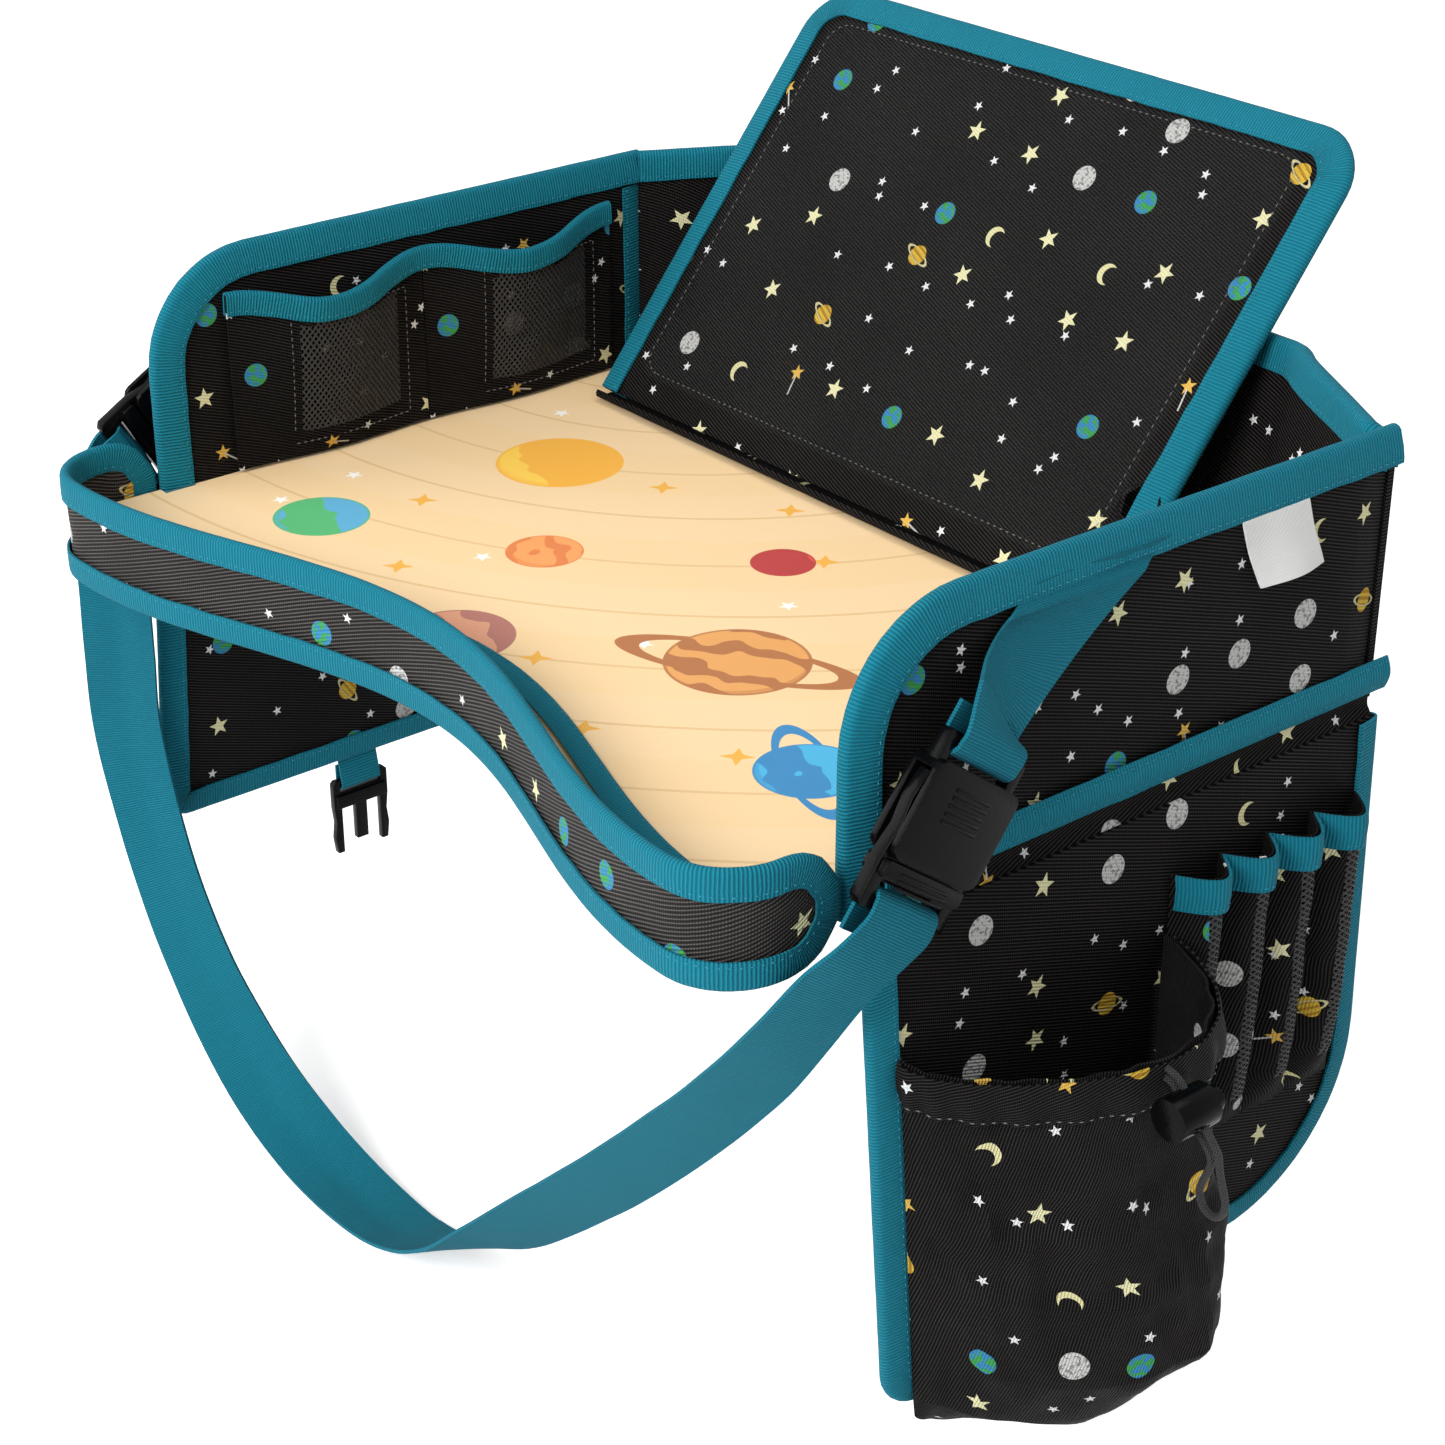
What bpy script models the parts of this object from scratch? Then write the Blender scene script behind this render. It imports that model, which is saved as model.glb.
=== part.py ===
"""A child's car seat tray table: stiff deck, raised front rim, side walls, a leaning tablet stand,
hanging side wings with a bottle pouch and marker slots, and a strap with side release buckles.

Origin: centre of the deck's underside. +X to the sitter's right hand, +Y away from the sitter, +Z up.
"""

import math

import bmesh
import bpy
from mathutils import Matrix, Vector

# Overall sizes of the tray
TRAY_WIDTH = 0.420
DECK_DEPTH = 0.292
FRONT_REACH = 0.052
WALL_HEIGHT = 0.100
WALL_THICKNESS = 0.008
WALL_CORNER_RADIUS = 0.045
GAP = 0.0003

# Front edge: two lobes and the belly cut between them
BELLY_CUT = 0.040
LOBE_RADIUS = 0.027
FRONT_STEPS = 22
CORNER_STEPS = 5

# Layers of the deck, from the underside up
UNDERSIDE_THICKNESS = 0.0012
BOARD_THICKNESS = 0.0030
FOAM_THICKNESS = 0.0018
PRINT_THICKNESS = 0.0006
COVER_THICKNESS = 0.0005
COVER_INSET = 0.018
COVER_BINDING_WIDTH = 0.009
COVER_BINDING_THICKNESS = 0.0008

# Raised rim round the front
RIM_HEIGHT = 0.040
RIM_CENTRE_Z = 0.010
RIM_THICKNESS = 0.0020
RIM_INSET = 0.0020
RIM_LEG = 0.0095
RIM_DECK_INSET = 0.0050
RIM_END_TURN_SHARES = (0.2, 0.4, 0.6, 0.8, 1.0)

# Webbing bindings folded over the edges
BINDING_THICKNESS = 0.0010
BINDING_LEG = 0.0115
WING_LEG = 0.0100
PIPING_HEIGHT = 0.0120
PIPING_CENTRE_Z = 0.0105
PIPING_OVERHANG = 0.0060
PIPING_STEPS = 6

# Cloth strips under the piping, which carry the wings
SEAM_THICKNESS = 0.0008
SEAM_TOP_Z = 0.0140
SEAM_END_GAP = 0.0006

# Sleeves of cloth and the boards inside them
BOARD_SLEEVE_WALL = 0.0022
SLEEVE_EDGE = 0.0140
PANEL_SLEEVE_WALL = 0.0015
OVERRUN = 0.0050

# Back wall, a soft strip that bows behind the tablet stand
BACK_THICKNESS = 0.0030
BACK_LEFT_RAMP = 0.021
BACK_RIGHT_RAMP = 0.071
BACK_BULGE_RISE_SHARE = 0.85
BACK_CLEARANCE = 0.0009
BACK_STEPS = 9
BACK_ROWS = 5

# Tablet stand
STAND_SIDE_ROOM = 0.061
STAND_HEIGHT = 0.199
STAND_THICKNESS = 0.0054
STAND_CENTRE_X = -0.025
STAND_FOOT_INSET = 0.047
STAND_HINGE_Z = 0.0120
STAND_TILT = math.radians(51)
STAND_CORNER_RADIUS = 0.022
STAND_FOOT_GAP = 0.0026
CABLE_HOLE_RADIUS = 0.0075
CABLE_HOLE_INSET = 0.010
CABLE_HOLE_UP = 0.045
WINDOW_MARGIN = 0.018
WINDOW_FOOT_MARGIN = 0.014
WINDOW_TOP_MARGIN = 0.013
WINDOW_THICKNESS = 0.0006
WINDOW_RADIUS = 0.010
HINGE_STRIP_DEPTH = 0.017
HINGE_STRIP_THICKNESS = 0.0008

# Wings that hang below the side walls
WING_THICKNESS = 0.0044
WING_PIVOT_Z = -0.0034
WING_BEAD_RADIUS = 0.0026
WING_TOP_GAP = 0.0006
WING_CLEARANCE = 0.0010
WING_REAR_SLANT = 0.007
WING_RADIUS = 0.016
RIGHT_WING_DEPTH = 0.197
RIGHT_WING_FRONT_INSET = 0.003
RIGHT_WING_SLANT = 0.016
RIGHT_WING_REAR_RADIUS = 0.064
LEFT_WING_DEPTH = 0.143
LEFT_WING_SLANT = -0.009
LEFT_WING_RADIUS = 0.010

# Bottle pouch on the right wing
POUCH_FRONT_INSET = 0.0095
POUCH_REAR_GAP = 0.0020
POUCH_DEPTH = 0.040
POUCH_SKEW_SHARE = 0.5
POUCH_SAG = 0.009
POUCH_MOUTH_Z = -0.052
POUCH_BOTTOM_Z = -0.201
POUCH_THICKNESS = 0.0010
POUCH_STEPS = 18
HEM_HEIGHT = 0.015
HEM_THICKNESS = 0.0010
HEM_GROW = 0.0019
POUCH_DROP_SHARES = (0.0, 0.3, 0.6, 0.8, 0.93, 1.0)
POUCH_BULGE_SHARES = (1.0, 1.12, 1.3, 1.32, 1.0, 0.1)

# Marker slots on the right wing
MARKER_COUNT = 4
MARKER_PITCH = 0.0231
MARKER_REAR_INSET = 0.0095
MARKER_TOP_Z = -0.030
MARKER_BOTTOM_Z = -0.146
MARKER_BULGE = 0.0120
MARKER_STEPS = 6
NET_THICKNESS = 0.0007
ELASTIC_HEIGHT = 0.013
MARKER_DROP_SHARES = (0.0, 0.5, 0.85, 1.0)
MARKER_BULGE_SHARES = (1.0, 0.95, 0.75, 0.04)

# Pockets inside the left wall
POCKET_FRONT_INSET = 0.031
POCKET_SEAM_SHARE = 0.49
POCKET_REAR_INSET = 0.021
POCKET_SEAM_Z = 0.083
POCKET_DIP = 0.013
POCKET_BULGE = 0.013
POCKET_STEPS = 10
POCKET_THICKNESS = 0.0008
POCKET_LEG = 0.0085
POCKET_FOOT_SHARE = 0.2
POCKET_ROWS = 4

# Main strap, its anchors and buckles. A buckle's top is where its anchor enters
WEBBING_WIDTH = 0.030
WEBBING_THICKNESS = 0.0014
ANCHOR_TOP_Y = 0.019
ANCHOR_FLAT_SHARE = 1.1
WRAP_STEPS = 6
BUCKLE_OFFSET = 0.0155
RIGHT_BUCKLE_TOP = (-0.0545, 0.0550)
RIGHT_BUCKLE_SLOPE = (-0.6, -0.8)
LEFT_BUCKLE_TOP = (-0.0490, 0.0440)
LEFT_BUCKLE_SLOPE = (-0.86, -0.51)

# Side release buckle, in its own frame: X across the webbing, Y from plug to socket
BUCKLE_WIDTH = 0.042
BUCKLE_LENGTH = 0.059
BUCKLE_FRAME_THICKNESS = 0.0048
BUCKLE_HOUSING_THICKNESS = 0.0115
BUCKLE_CAVITY_THICKNESS = 0.0068
BUCKLE_BAR = 0.0030
BUCKLE_SLOT = 0.0046
BUCKLE_SLOT_WIDTH = 0.0316
BUCKLE_END_MARGIN = 0.0014
PLUG_BASE_LENGTH = 0.0165
PLUG_BLOCK_SHARE = 0.82
PLUG_ARM_LENGTH = 0.0285
PLUG_ARM_WIDTH = 0.0046
PLUG_WAIST_SHARE = 0.3
PLUG_TONGUE_WIDTH = 0.0085
PLUG_TONGUE_LENGTH = 0.0230
SOCKET_HOUSING_LENGTH = 0.0350
SOCKET_CAVITY_DEPTH = 0.0290
BUCKLE_CORNER_RADIUS = 0.0040

# Small clips below the left wing and behind the right wing
CLIP_SCALE_SHARE = 0.66
CLIP_STRETCH_SHARE = 1.2
CLIP_TAB_WIDTH = 0.0195
CLIP_TAB_LENGTH = 0.0110
CLIP_Y = -0.008
LEFT_CLIP_GAP = 0.00045
LEFT_CLIP_TAIL = 0.0030
RIGHT_CLIP_TOP_Z = -0.105
RIGHT_CLIP_LEAD = 0.0100
CLIP_LIFT = 0.0085

# Drawstring and cord lock
CORD_DIAMETER = 0.0026
CORD_SPREAD = 0.0036
CORD_CLEARANCE = 0.0009
LOCK_OUT = 0.0113
LOCK_DROP = 0.0080
LOCK_RADIUS = 0.0075
LOCK_LENGTH = 0.0170
LOCK_WELL_RADIUS = 0.0050
LOCK_WELL_FLOOR = 0.0020
LOCK_HOLE_HEIGHT = 0.0034
LOCK_HOLE_CENTRE = 0.0105
BUTTON_RADIUS = 0.0046
BUTTON_PROUD = 0.0045
BUTTON_TRAVEL = 0.0025
SPRING_RADIUS = 0.0034
SPRING_WIRE_RADIUS = 0.00035
SPRING_TURNS = 3
SPRING_STEPS = 10
LOCK_ANGLE = math.radians(12)
ROUND_STEPS = 24

# Label on the right wall
LABEL_WIDTH = 0.038
LABEL_HEIGHT = 0.027
LABEL_THICKNESS = 0.0008
LABEL_REAR_INSET = 0.056
LABEL_TOP_Z = 0.0875

# Places that follow from the sizes above
HALF_WIDTH = TRAY_WIDTH / 2
REAR_Y = DECK_DEPTH / 2
LOBE_Y = -DECK_DEPTH / 2
WALL_FRONT_Y = LOBE_Y + FRONT_REACH
WALL_INNER_X = HALF_WIDTH - WALL_THICKNESS
STAND_WIDTH = TRAY_WIDTH - 2 * STAND_SIDE_ROOM
STAND_FOOT_Y = REAR_Y - STAND_FOOT_INSET
WINDOW_WIDTH = STAND_WIDTH - 2 * WINDOW_MARGIN
WINDOW_HEIGHT = STAND_HEIGHT - WINDOW_FOOT_MARGIN - WINDOW_TOP_MARGIN
WINDOW_CENTRE_UP = WINDOW_FOOT_MARGIN + WINDOW_HEIGHT / 2
CABLE_HOLE_X = STAND_WIDTH / 2 - CABLE_HOLE_INSET
RIGHT_WING_FRONT_Y = WALL_FRONT_Y + RIGHT_WING_FRONT_INSET
MARKER_REAR_Y = REAR_Y - MARKER_REAR_INSET
MARKER_FRONT_Y = MARKER_REAR_Y - MARKER_COUNT * MARKER_PITCH
POUCH_REAR_Y = MARKER_FRONT_Y - POUCH_REAR_GAP
POCKET_FRONT_Y = WALL_FRONT_Y + POCKET_FRONT_INSET
POCKET_REAR_Y = REAR_Y - POCKET_REAR_INSET
POCKET_SEAM_Y = POCKET_FRONT_Y + POCKET_SEAM_SHARE * (POCKET_REAR_Y - POCKET_FRONT_Y)
LABEL_Y = REAR_Y - LABEL_REAR_INSET
LOBE_CENTRE_X = HALF_WIDTH - LOBE_RADIUS
BOARD_Z = UNDERSIDE_THICKNESS + GAP
FOAM_Z = BOARD_Z + BOARD_THICKNESS + GAP
PRINT_Z = FOAM_Z + FOAM_THICKNESS + GAP
COVER_Z = PRINT_Z + PRINT_THICKNESS + GAP
DECK_TOP_Z = COVER_Z + COVER_THICKNESS
WING_X = HALF_WIDTH + WING_CLEARANCE + WING_THICKNESS / 2
WING_FACE_X = WING_X + WING_THICKNESS / 2
WING_TOP_Z = WING_PIVOT_Z - WING_TOP_GAP
BINDING_PROUD = GAP + BINDING_THICKNESS
POUCH_BASE_X = WING_FACE_X + BINDING_PROUD + 2 * GAP
MARKER_BASE_X = WING_FACE_X + GAP + NET_THICKNESS
CORD_TOP_Z = POUCH_MOUTH_Z - CORD_DIAMETER
STAND_UP = Vector((0, math.cos(STAND_TILT), math.sin(STAND_TILT)))
STAND_NORMAL = Vector((0, -math.sin(STAND_TILT), math.cos(STAND_TILT)))
STAND_FOOT = Vector((STAND_CENTRE_X, STAND_FOOT_Y, STAND_HINGE_Z))

TEAL = (0.011, 0.205, 0.275, 1)
BLACK_CLOTH = (0.010, 0.009, 0.010, 1)
BLACK_PLASTIC = (0.006, 0.006, 0.007, 1)
BEIGE_PRINT = (1.0, 0.78, 0.50, 1)
BOARD_GREY = (0.45, 0.44, 0.42, 1)
CLEAR_FILM = (0.85, 0.92, 0.93, 1)
NET_BLACK = (0.03, 0.03, 0.03, 1)
LABEL_WHITE = (0.8, 0.8, 0.78, 1)
STEEL = (0.6, 0.6, 0.6, 1)


def clear_scene():
    for old in list(bpy.data.objects):
        bpy.data.objects.remove(old, do_unlink=True)


def collection(name):
    made = bpy.data.collections.new(name)
    bpy.context.scene.collection.children.link(made)
    return made


clear_scene()
PARTS = collection("car_seat_tray_table")
CUTTERS = collection("cutters")


def finish_of(name, colour, roughness, metallic=0.0):
    made = bpy.data.materials.new(name)
    made.use_nodes = True
    shader = made.node_tree.nodes["Principled BSDF"]
    shader.inputs["Base Color"].default_value = colour
    shader.inputs["Roughness"].default_value = roughness
    shader.inputs["Metallic"].default_value = metallic
    made.diffuse_color = colour
    return made


FINISHES = {
    "binding": (TEAL, 0.75),
    "webbing": (TEAL, 0.7),
    "cloth": (BLACK_CLOTH, 0.8),
    "plastic": (BLACK_PLASTIC, 0.35),
    "print": (BEIGE_PRINT, 0.6),
    "board": (BOARD_GREY, 0.7),
    "film": (CLEAR_FILM, 0.1),
    "net": (NET_BLACK, 0.8),
    "label": (LABEL_WHITE, 0.8),
    "spring": (STEEL, 0.3, 1.0),
}


def add_object(name, mesh, finish):
    """A part of the tray with a material of its own."""
    obj = bpy.data.objects.new(name, mesh)
    PARTS.objects.link(obj)
    mesh.materials.clear()
    mesh.materials.append(finish_of(name, *FINISHES[finish]))
    return obj


def grid_mesh(name, rows, loop=False):
    """A mesh over rows of points. loop joins the last row to the first."""
    bm = bmesh.new()
    made = [[bm.verts.new(point) for point in row] for row in rows]
    row_pairs = list(zip(made, made[1:])) + ([(made[-1], made[0])] if loop else [])
    for below, above in row_pairs:
        for i in range(len(below) - 1):
            bm.faces.new((below[i], below[i + 1], above[i + 1], above[i]))
    bmesh.ops.recalc_face_normals(bm, faces=bm.faces)
    mesh = bpy.data.meshes.new(name)
    bm.to_mesh(mesh)
    bm.free()
    return mesh


def sheet(name, rows, thickness, finish, loop=False, even=True):
    """Cloth or webbing: an open surface through its middle, given its thickness."""
    obj = add_object(name, grid_mesh(name, rows, loop), finish)
    solid = obj.modifiers.new("thickness", "SOLIDIFY")
    solid.thickness = thickness
    solid.offset = 0
    solid.use_even_offset = even
    obj.data.shade_smooth()
    obj.data.set_sharp_from_angle(angle=math.radians(50))
    return obj


def rounded(corners, steps=CORNER_STEPS):
    """An outline whose corners, given as (x, y, radius), are turned into arcs."""
    points = []
    count = len(corners)
    for i, (x, y, radius) in enumerate(corners):
        here = Vector((x, y))
        if not radius:
            points.append(here)
            continue
        before = (Vector(corners[i - 1][:2]) - here).normalized()
        after = (Vector(corners[(i + 1) % count][:2]) - here).normalized()
        half = before.angle(after) / 2
        middle = here + (before + after).normalized() * radius / math.sin(half)
        start = here + before * radius / math.tan(half) - middle
        end = here + after * radius / math.tan(half) - middle
        turn = start.angle_signed(end)
        for step in range(steps + 1):
            points.append(middle + Matrix.Rotation(-turn * step / steps, 2) @ start)
    return points


def mesh_of_curve(curve, matrix):
    """The curve's mesh with its caps welded, placed in the world."""
    graph = bpy.context.evaluated_depsgraph_get()
    mesh = bpy.data.meshes.new_from_object(curve.evaluated_get(graph))
    bm = bmesh.new()
    bm.from_mesh(mesh)
    bmesh.ops.remove_doubles(bm, verts=bm.verts, dist=GAP / 100)
    bmesh.ops.transform(bm, matrix=matrix, verts=bm.verts)
    bmesh.ops.recalc_face_normals(bm, faces=bm.faces)
    bm.to_mesh(mesh)
    bm.free()
    bpy.data.objects.remove(curve, do_unlink=True)
    return mesh


def plate_mesh(name, outlines, thickness, matrix):
    """A flat plate: the first outline is its edge, the others are holes. Its middle lies at z 0."""
    data = bpy.data.curves.new(name, "CURVE")
    data.dimensions = "2D"
    data.fill_mode = "BOTH"
    data.extrude = thickness / 2
    for outline in outlines:
        spline = data.splines.new("POLY")
        spline.points.add(len(outline) - 1)
        for point, place in zip(spline.points, outline):
            point.co = (place[0], place[1], 0, 1)
        spline.use_cyclic_u = True
    curve = bpy.data.objects.new(name, data)
    CUTTERS.objects.link(curve)
    return mesh_of_curve(curve, matrix)


def plate(name, outlines, thickness, matrix, finish):
    return add_object(name, plate_mesh(name, outlines, thickness, matrix), finish)


def cutter_of(mesh, name):
    obj = bpy.data.objects.new(name, mesh)
    CUTTERS.objects.link(obj)
    obj.hide_render = True
    obj.display_type = "WIRE"
    return obj


def combine(obj, other, operation):
    change = obj.modifiers.new(other.name, "BOOLEAN")
    change.operation = operation
    change.object = other
    change.solver = "EXACT"


def frame_matrix(origin, x_axis, y_axis):
    z_axis = Vector(x_axis).cross(Vector(y_axis))
    turned = Matrix((x_axis, y_axis, z_axis)).transposed().to_4x4()
    return Matrix.Translation(origin) @ turned


def level(z):
    return Matrix.Translation((0, 0, z))


def upright(x):
    """Outlines in Y and Z, plate facing along X, its middle at x."""
    return frame_matrix((x, 0, 0), (0, 1, 0), (0, 0, 1))


def channel(name, edge, outward, normals, core, leg, finish="binding", loop=False,
            thickness=BINDING_THICKNESS):
    """A binding folded over an edge: two legs and a back, along the edge's points.

    core is half the thickness of what it folds over, its clearance included."""
    rows = []
    side = core + thickness / 2
    back = GAP + thickness / 2
    for point, out, normal in zip(edge, outward, normals):
        rows.append([
            point + normal * side - out * leg,
            point + normal * side + out * back,
            point - normal * side + out * back,
            point - normal * side - out * leg,
        ])
    return sheet(name, rows, thickness, finish, loop)


def tangents(points, closed=False):
    count = len(points)
    found = []
    for i in range(count):
        before = points[i - 1] if closed or i else points[i]
        after = points[(i + 1) % count] if closed or i < count - 1 else points[i]
        found.append((after - before).normalized())
    return found


def edge_channel(name, outline, x, core, leg):
    """A binding along an open outline in Y and Z, on a plate that faces along X."""
    edge = [Vector((x, p[0], p[1])) for p in outline]
    normal = Vector((1, 0, 0))
    outward = [normal.cross(t) for t in tangents(edge)]
    return channel(name, edge, outward, [normal] * len(edge), core, leg)


def resampled(points, stations):
    """Points of a polyline at the given distances along it."""
    lengths = [0.0]
    for a, b in zip(points, points[1:]):
        lengths.append(lengths[-1] + (b - a).length)
    found = []
    for place in stations:
        k = max(i for i, s in enumerate(lengths[:-1]) if s <= place or i == 0)
        share = (place - lengths[k]) / max(lengths[k + 1] - lengths[k], GAP)
        found.append(points[k].lerp(points[k + 1], min(share, 1)))
    return found


def length_of(points):
    return sum((b - a).length for a, b in zip(points, points[1:]))


# Front edge in plan. It runs from the right wall round the lobes and the belly to the left wall.
def belly_y(x):
    middle = LOBE_Y + BELLY_CUT / 2
    share = min(abs(x) / LOBE_CENTRE_X, 1)
    return middle + BELLY_CUT / 2 * math.cos(math.pi * share)


def front_edge(inset, start=WALL_FRONT_Y, side_points=3):
    points = []
    straight = start - (LOBE_Y + LOBE_RADIUS)
    for i in range(side_points):
        points.append(Vector((HALF_WIDTH - inset, start - straight * i / side_points)))
    centre = Vector((LOBE_CENTRE_X, LOBE_Y + LOBE_RADIUS))
    for i in range(CORNER_STEPS + 2):
        angle = -math.pi / 2 * i / (CORNER_STEPS + 1)
        points.append(centre + Vector((math.cos(angle), math.sin(angle))) * (LOBE_RADIUS - inset))
    slope_step = LOBE_CENTRE_X / FRONT_STEPS / 10
    for i in range(1, FRONT_STEPS // 2 + 1):
        x = LOBE_CENTRE_X * (1 - 2 * i / FRONT_STEPS)
        rise = belly_y(x - slope_step) - belly_y(x + slope_step)
        inward = Vector((rise, 2 * slope_step)).normalized()
        points.append(Vector((x, belly_y(x))) + inward * inset)
    return points + [Vector((-p[0], p[1])) for p in reversed(points[:-1])]


def make_deck():
    step = WALL_FRONT_Y - BINDING_PROUD - GAP
    lip = front_edge(RIM_DECK_INSET, step)
    inner_x = WALL_INNER_X - BINDING_PROUD - GAP
    rear = REAR_Y - BACK_THICKNESS - GAP
    outline = [(inner_x, rear), (inner_x, step)] + lip + [(-inner_x, step), (-inner_x, rear)]
    layers = (
        ("deck_underside_panel", 0, UNDERSIDE_THICKNESS, "cloth"),
        ("deck_board", BOARD_Z, BOARD_THICKNESS, "board"),
        ("deck_foam", FOAM_Z, FOAM_THICKNESS, "board"),
        ("print_sheet", PRINT_Z, PRINT_THICKNESS, "print"),
    )
    for name, base, thickness, finish in layers:
        plate(name, [outline], thickness, level(base + thickness / 2), finish)
    front_x = lip[0][0] - COVER_INSET / 2
    xs = [front_x - 2 * front_x * i / FRONT_STEPS for i in range(FRONT_STEPS + 1)]
    cover_edge = [Vector((x, belly_y(x) + COVER_INSET)) for x in xs]
    cover = [(inner_x, rear), (inner_x, cover_edge[0][1])] + cover_edge
    cover += [(-inner_x, cover_edge[-1][1]), (-inner_x, rear)]
    plate("clear_cover", [cover], COVER_THICKNESS, level(COVER_Z + COVER_THICKNESS / 2), "film")
    strip_z = DECK_TOP_Z + GAP + COVER_BINDING_THICKNESS / 2
    strip = [
        [Vector((p[0], p[1] + GAP, strip_z)), Vector((p[0], p[1] + COVER_BINDING_WIDTH, strip_z))]
        for p in cover_edge
    ]
    sheet("clear_cover_binding", strip, COVER_BINDING_THICKNESS, "binding")


def make_rim():
    """The fabric band round the front, with rounded ends, and its binding."""
    flat = front_edge(RIM_INSET, WALL_FRONT_Y - 2 * BINDING_PROUD - 2 * GAP, side_points=4)
    path = [Vector((p[0], p[1], 0)) for p in flat]
    total = length_of(path)
    radius = RIM_HEIGHT / 2
    turns = [math.pi / 2 * share for share in RIM_END_TURN_SHARES]
    ends = [radius * (1 - math.cos(a)) for a in turns]
    halves = [radius * math.sin(a) for a in turns]
    count = FRONT_STEPS * 2
    first, last = ends[-1], total - ends[-1]
    inner = [first + (last - first) * i / count for i in range(1, count)]
    stations = ends + inner + [total - s for s in reversed(ends)]
    halves = halves + [radius] * len(inner) + halves[::-1]
    spine = resampled(path, stations)
    along = tangents(spine)
    up = Vector((0, 0, 1))
    normals = [up.cross(t) for t in along]
    rows = [
        [p + up * (RIM_CENTRE_Z + half * share) for share in (-1, 0, 1)]
        for p, half in zip(spine, halves)
    ]
    sheet("rim_band", rows, RIM_THICKNESS, "cloth")
    lean = [-math.cos(a) for a in turns] + [0] * len(inner) + [math.cos(a) for a in turns[::-1]]
    rise = [math.sin(a) for a in turns] + [1] * len(inner) + [math.sin(a) for a in turns[::-1]]
    top = [row[2] for row in rows]
    bottom = [row[0] for row in reversed(rows)]
    top_out = [t * a + up * b for t, a, b in zip(along, lean, rise)]
    bottom_out = [t * a - up * b for t, a, b in zip(along, lean, rise)][::-1]
    channel(
        "rim_binding", top + bottom, top_out + bottom_out, normals + normals[::-1],
        RIM_THICKNESS / 2 + GAP, RIM_LEG, loop=True,
    )


def sleeve(name, outline, slot, x, thickness, wall, bead=None):
    """A cloth sleeve whose pocket is open at one side. Returns the pocket's thickness."""
    cover = plate(name, [outline], thickness, upright(x), "cloth")
    if bead:
        combine(cover, bead, "UNION")
    room = thickness - 2 * wall
    cutter = cutter_of(plate_mesh(name + "_slot", [slot], room, upright(x)), name + "_slot")
    combine(cover, cutter, "DIFFERENCE")
    return room


def make_side_wall(side, name):
    """side is 1 for the right wall and -1 for the left one."""
    x = side * (HALF_WIDTH - WALL_THICKNESS / 2)
    front, rear, top = WALL_FRONT_Y, REAR_Y, WALL_HEIGHT
    outline = rounded([(front, 0, 0), (front, top, WALL_CORNER_RADIUS), (rear, top, 0), (rear, 0, 0)])
    inset = SLEEVE_EDGE
    radius = WALL_CORNER_RADIUS - inset
    corners = [(front + inset, top - inset, radius), (rear - inset, top - inset, 0)]
    slot = rounded([(front + inset, -OVERRUN, 0)] + corners + [(rear - inset, -OVERRUN, 0)])
    room = sleeve(name + "_cover", outline, slot, x, WALL_THICKNESS, BOARD_SLEEVE_WALL)
    low = [
        (front + inset + GAP, GAP, 0),
        (front + inset + GAP, top - inset - GAP, radius - GAP),
        (rear - inset - GAP, top - inset - GAP, 0),
        (rear - inset - GAP, GAP, 0),
    ]
    plate(name + "_board", [rounded(low)], room - 2 * GAP, upright(x), "board")
    bound = rounded([(front, 0, 0), (front, top, WALL_CORNER_RADIUS), (rear, top, 0)])
    edge_channel(name + "_binding", bound, x, WALL_THICKNESS / 2 + GAP, BINDING_LEG)


def make_corner_binding():
    """The binding up the rear edge of the left wall."""
    x = -(HALF_WIDTH - WALL_THICKNESS / 2)
    top = WALL_HEIGHT - BINDING_LEG - GAP - BINDING_THICKNESS
    edge_channel("corner_binding", [(REAR_Y, top), (REAR_Y, top / 2), (REAR_Y, 0)], x,
                 WALL_THICKNESS / 2 + GAP, BINDING_LEG)


def back_bow():
    """How far the back wall's top bows out, so that its binding carries the stand."""
    top = WALL_HEIGHT + GAP + BINDING_THICKNESS
    leaning = STAND_FOOT_Y + (top - STAND_HINGE_Z) / math.tan(STAND_TILT)
    behind = (STAND_THICKNESS + BINDING_PROUD + GAP) / math.sin(STAND_TILT)
    middle = leaning + behind + BACK_THICKNESS / 2 + BACK_CLEARANCE + GAP + BINDING_THICKNESS
    return middle - (REAR_Y - BACK_THICKNESS / 2)


def back_bow_share(x, left, right):
    if x < left + BACK_LEFT_RAMP:
        return (x - left) / BACK_LEFT_RAMP
    if x > right - BACK_RIGHT_RAMP:
        return (right - x) / BACK_RIGHT_RAMP
    return 1


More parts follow.
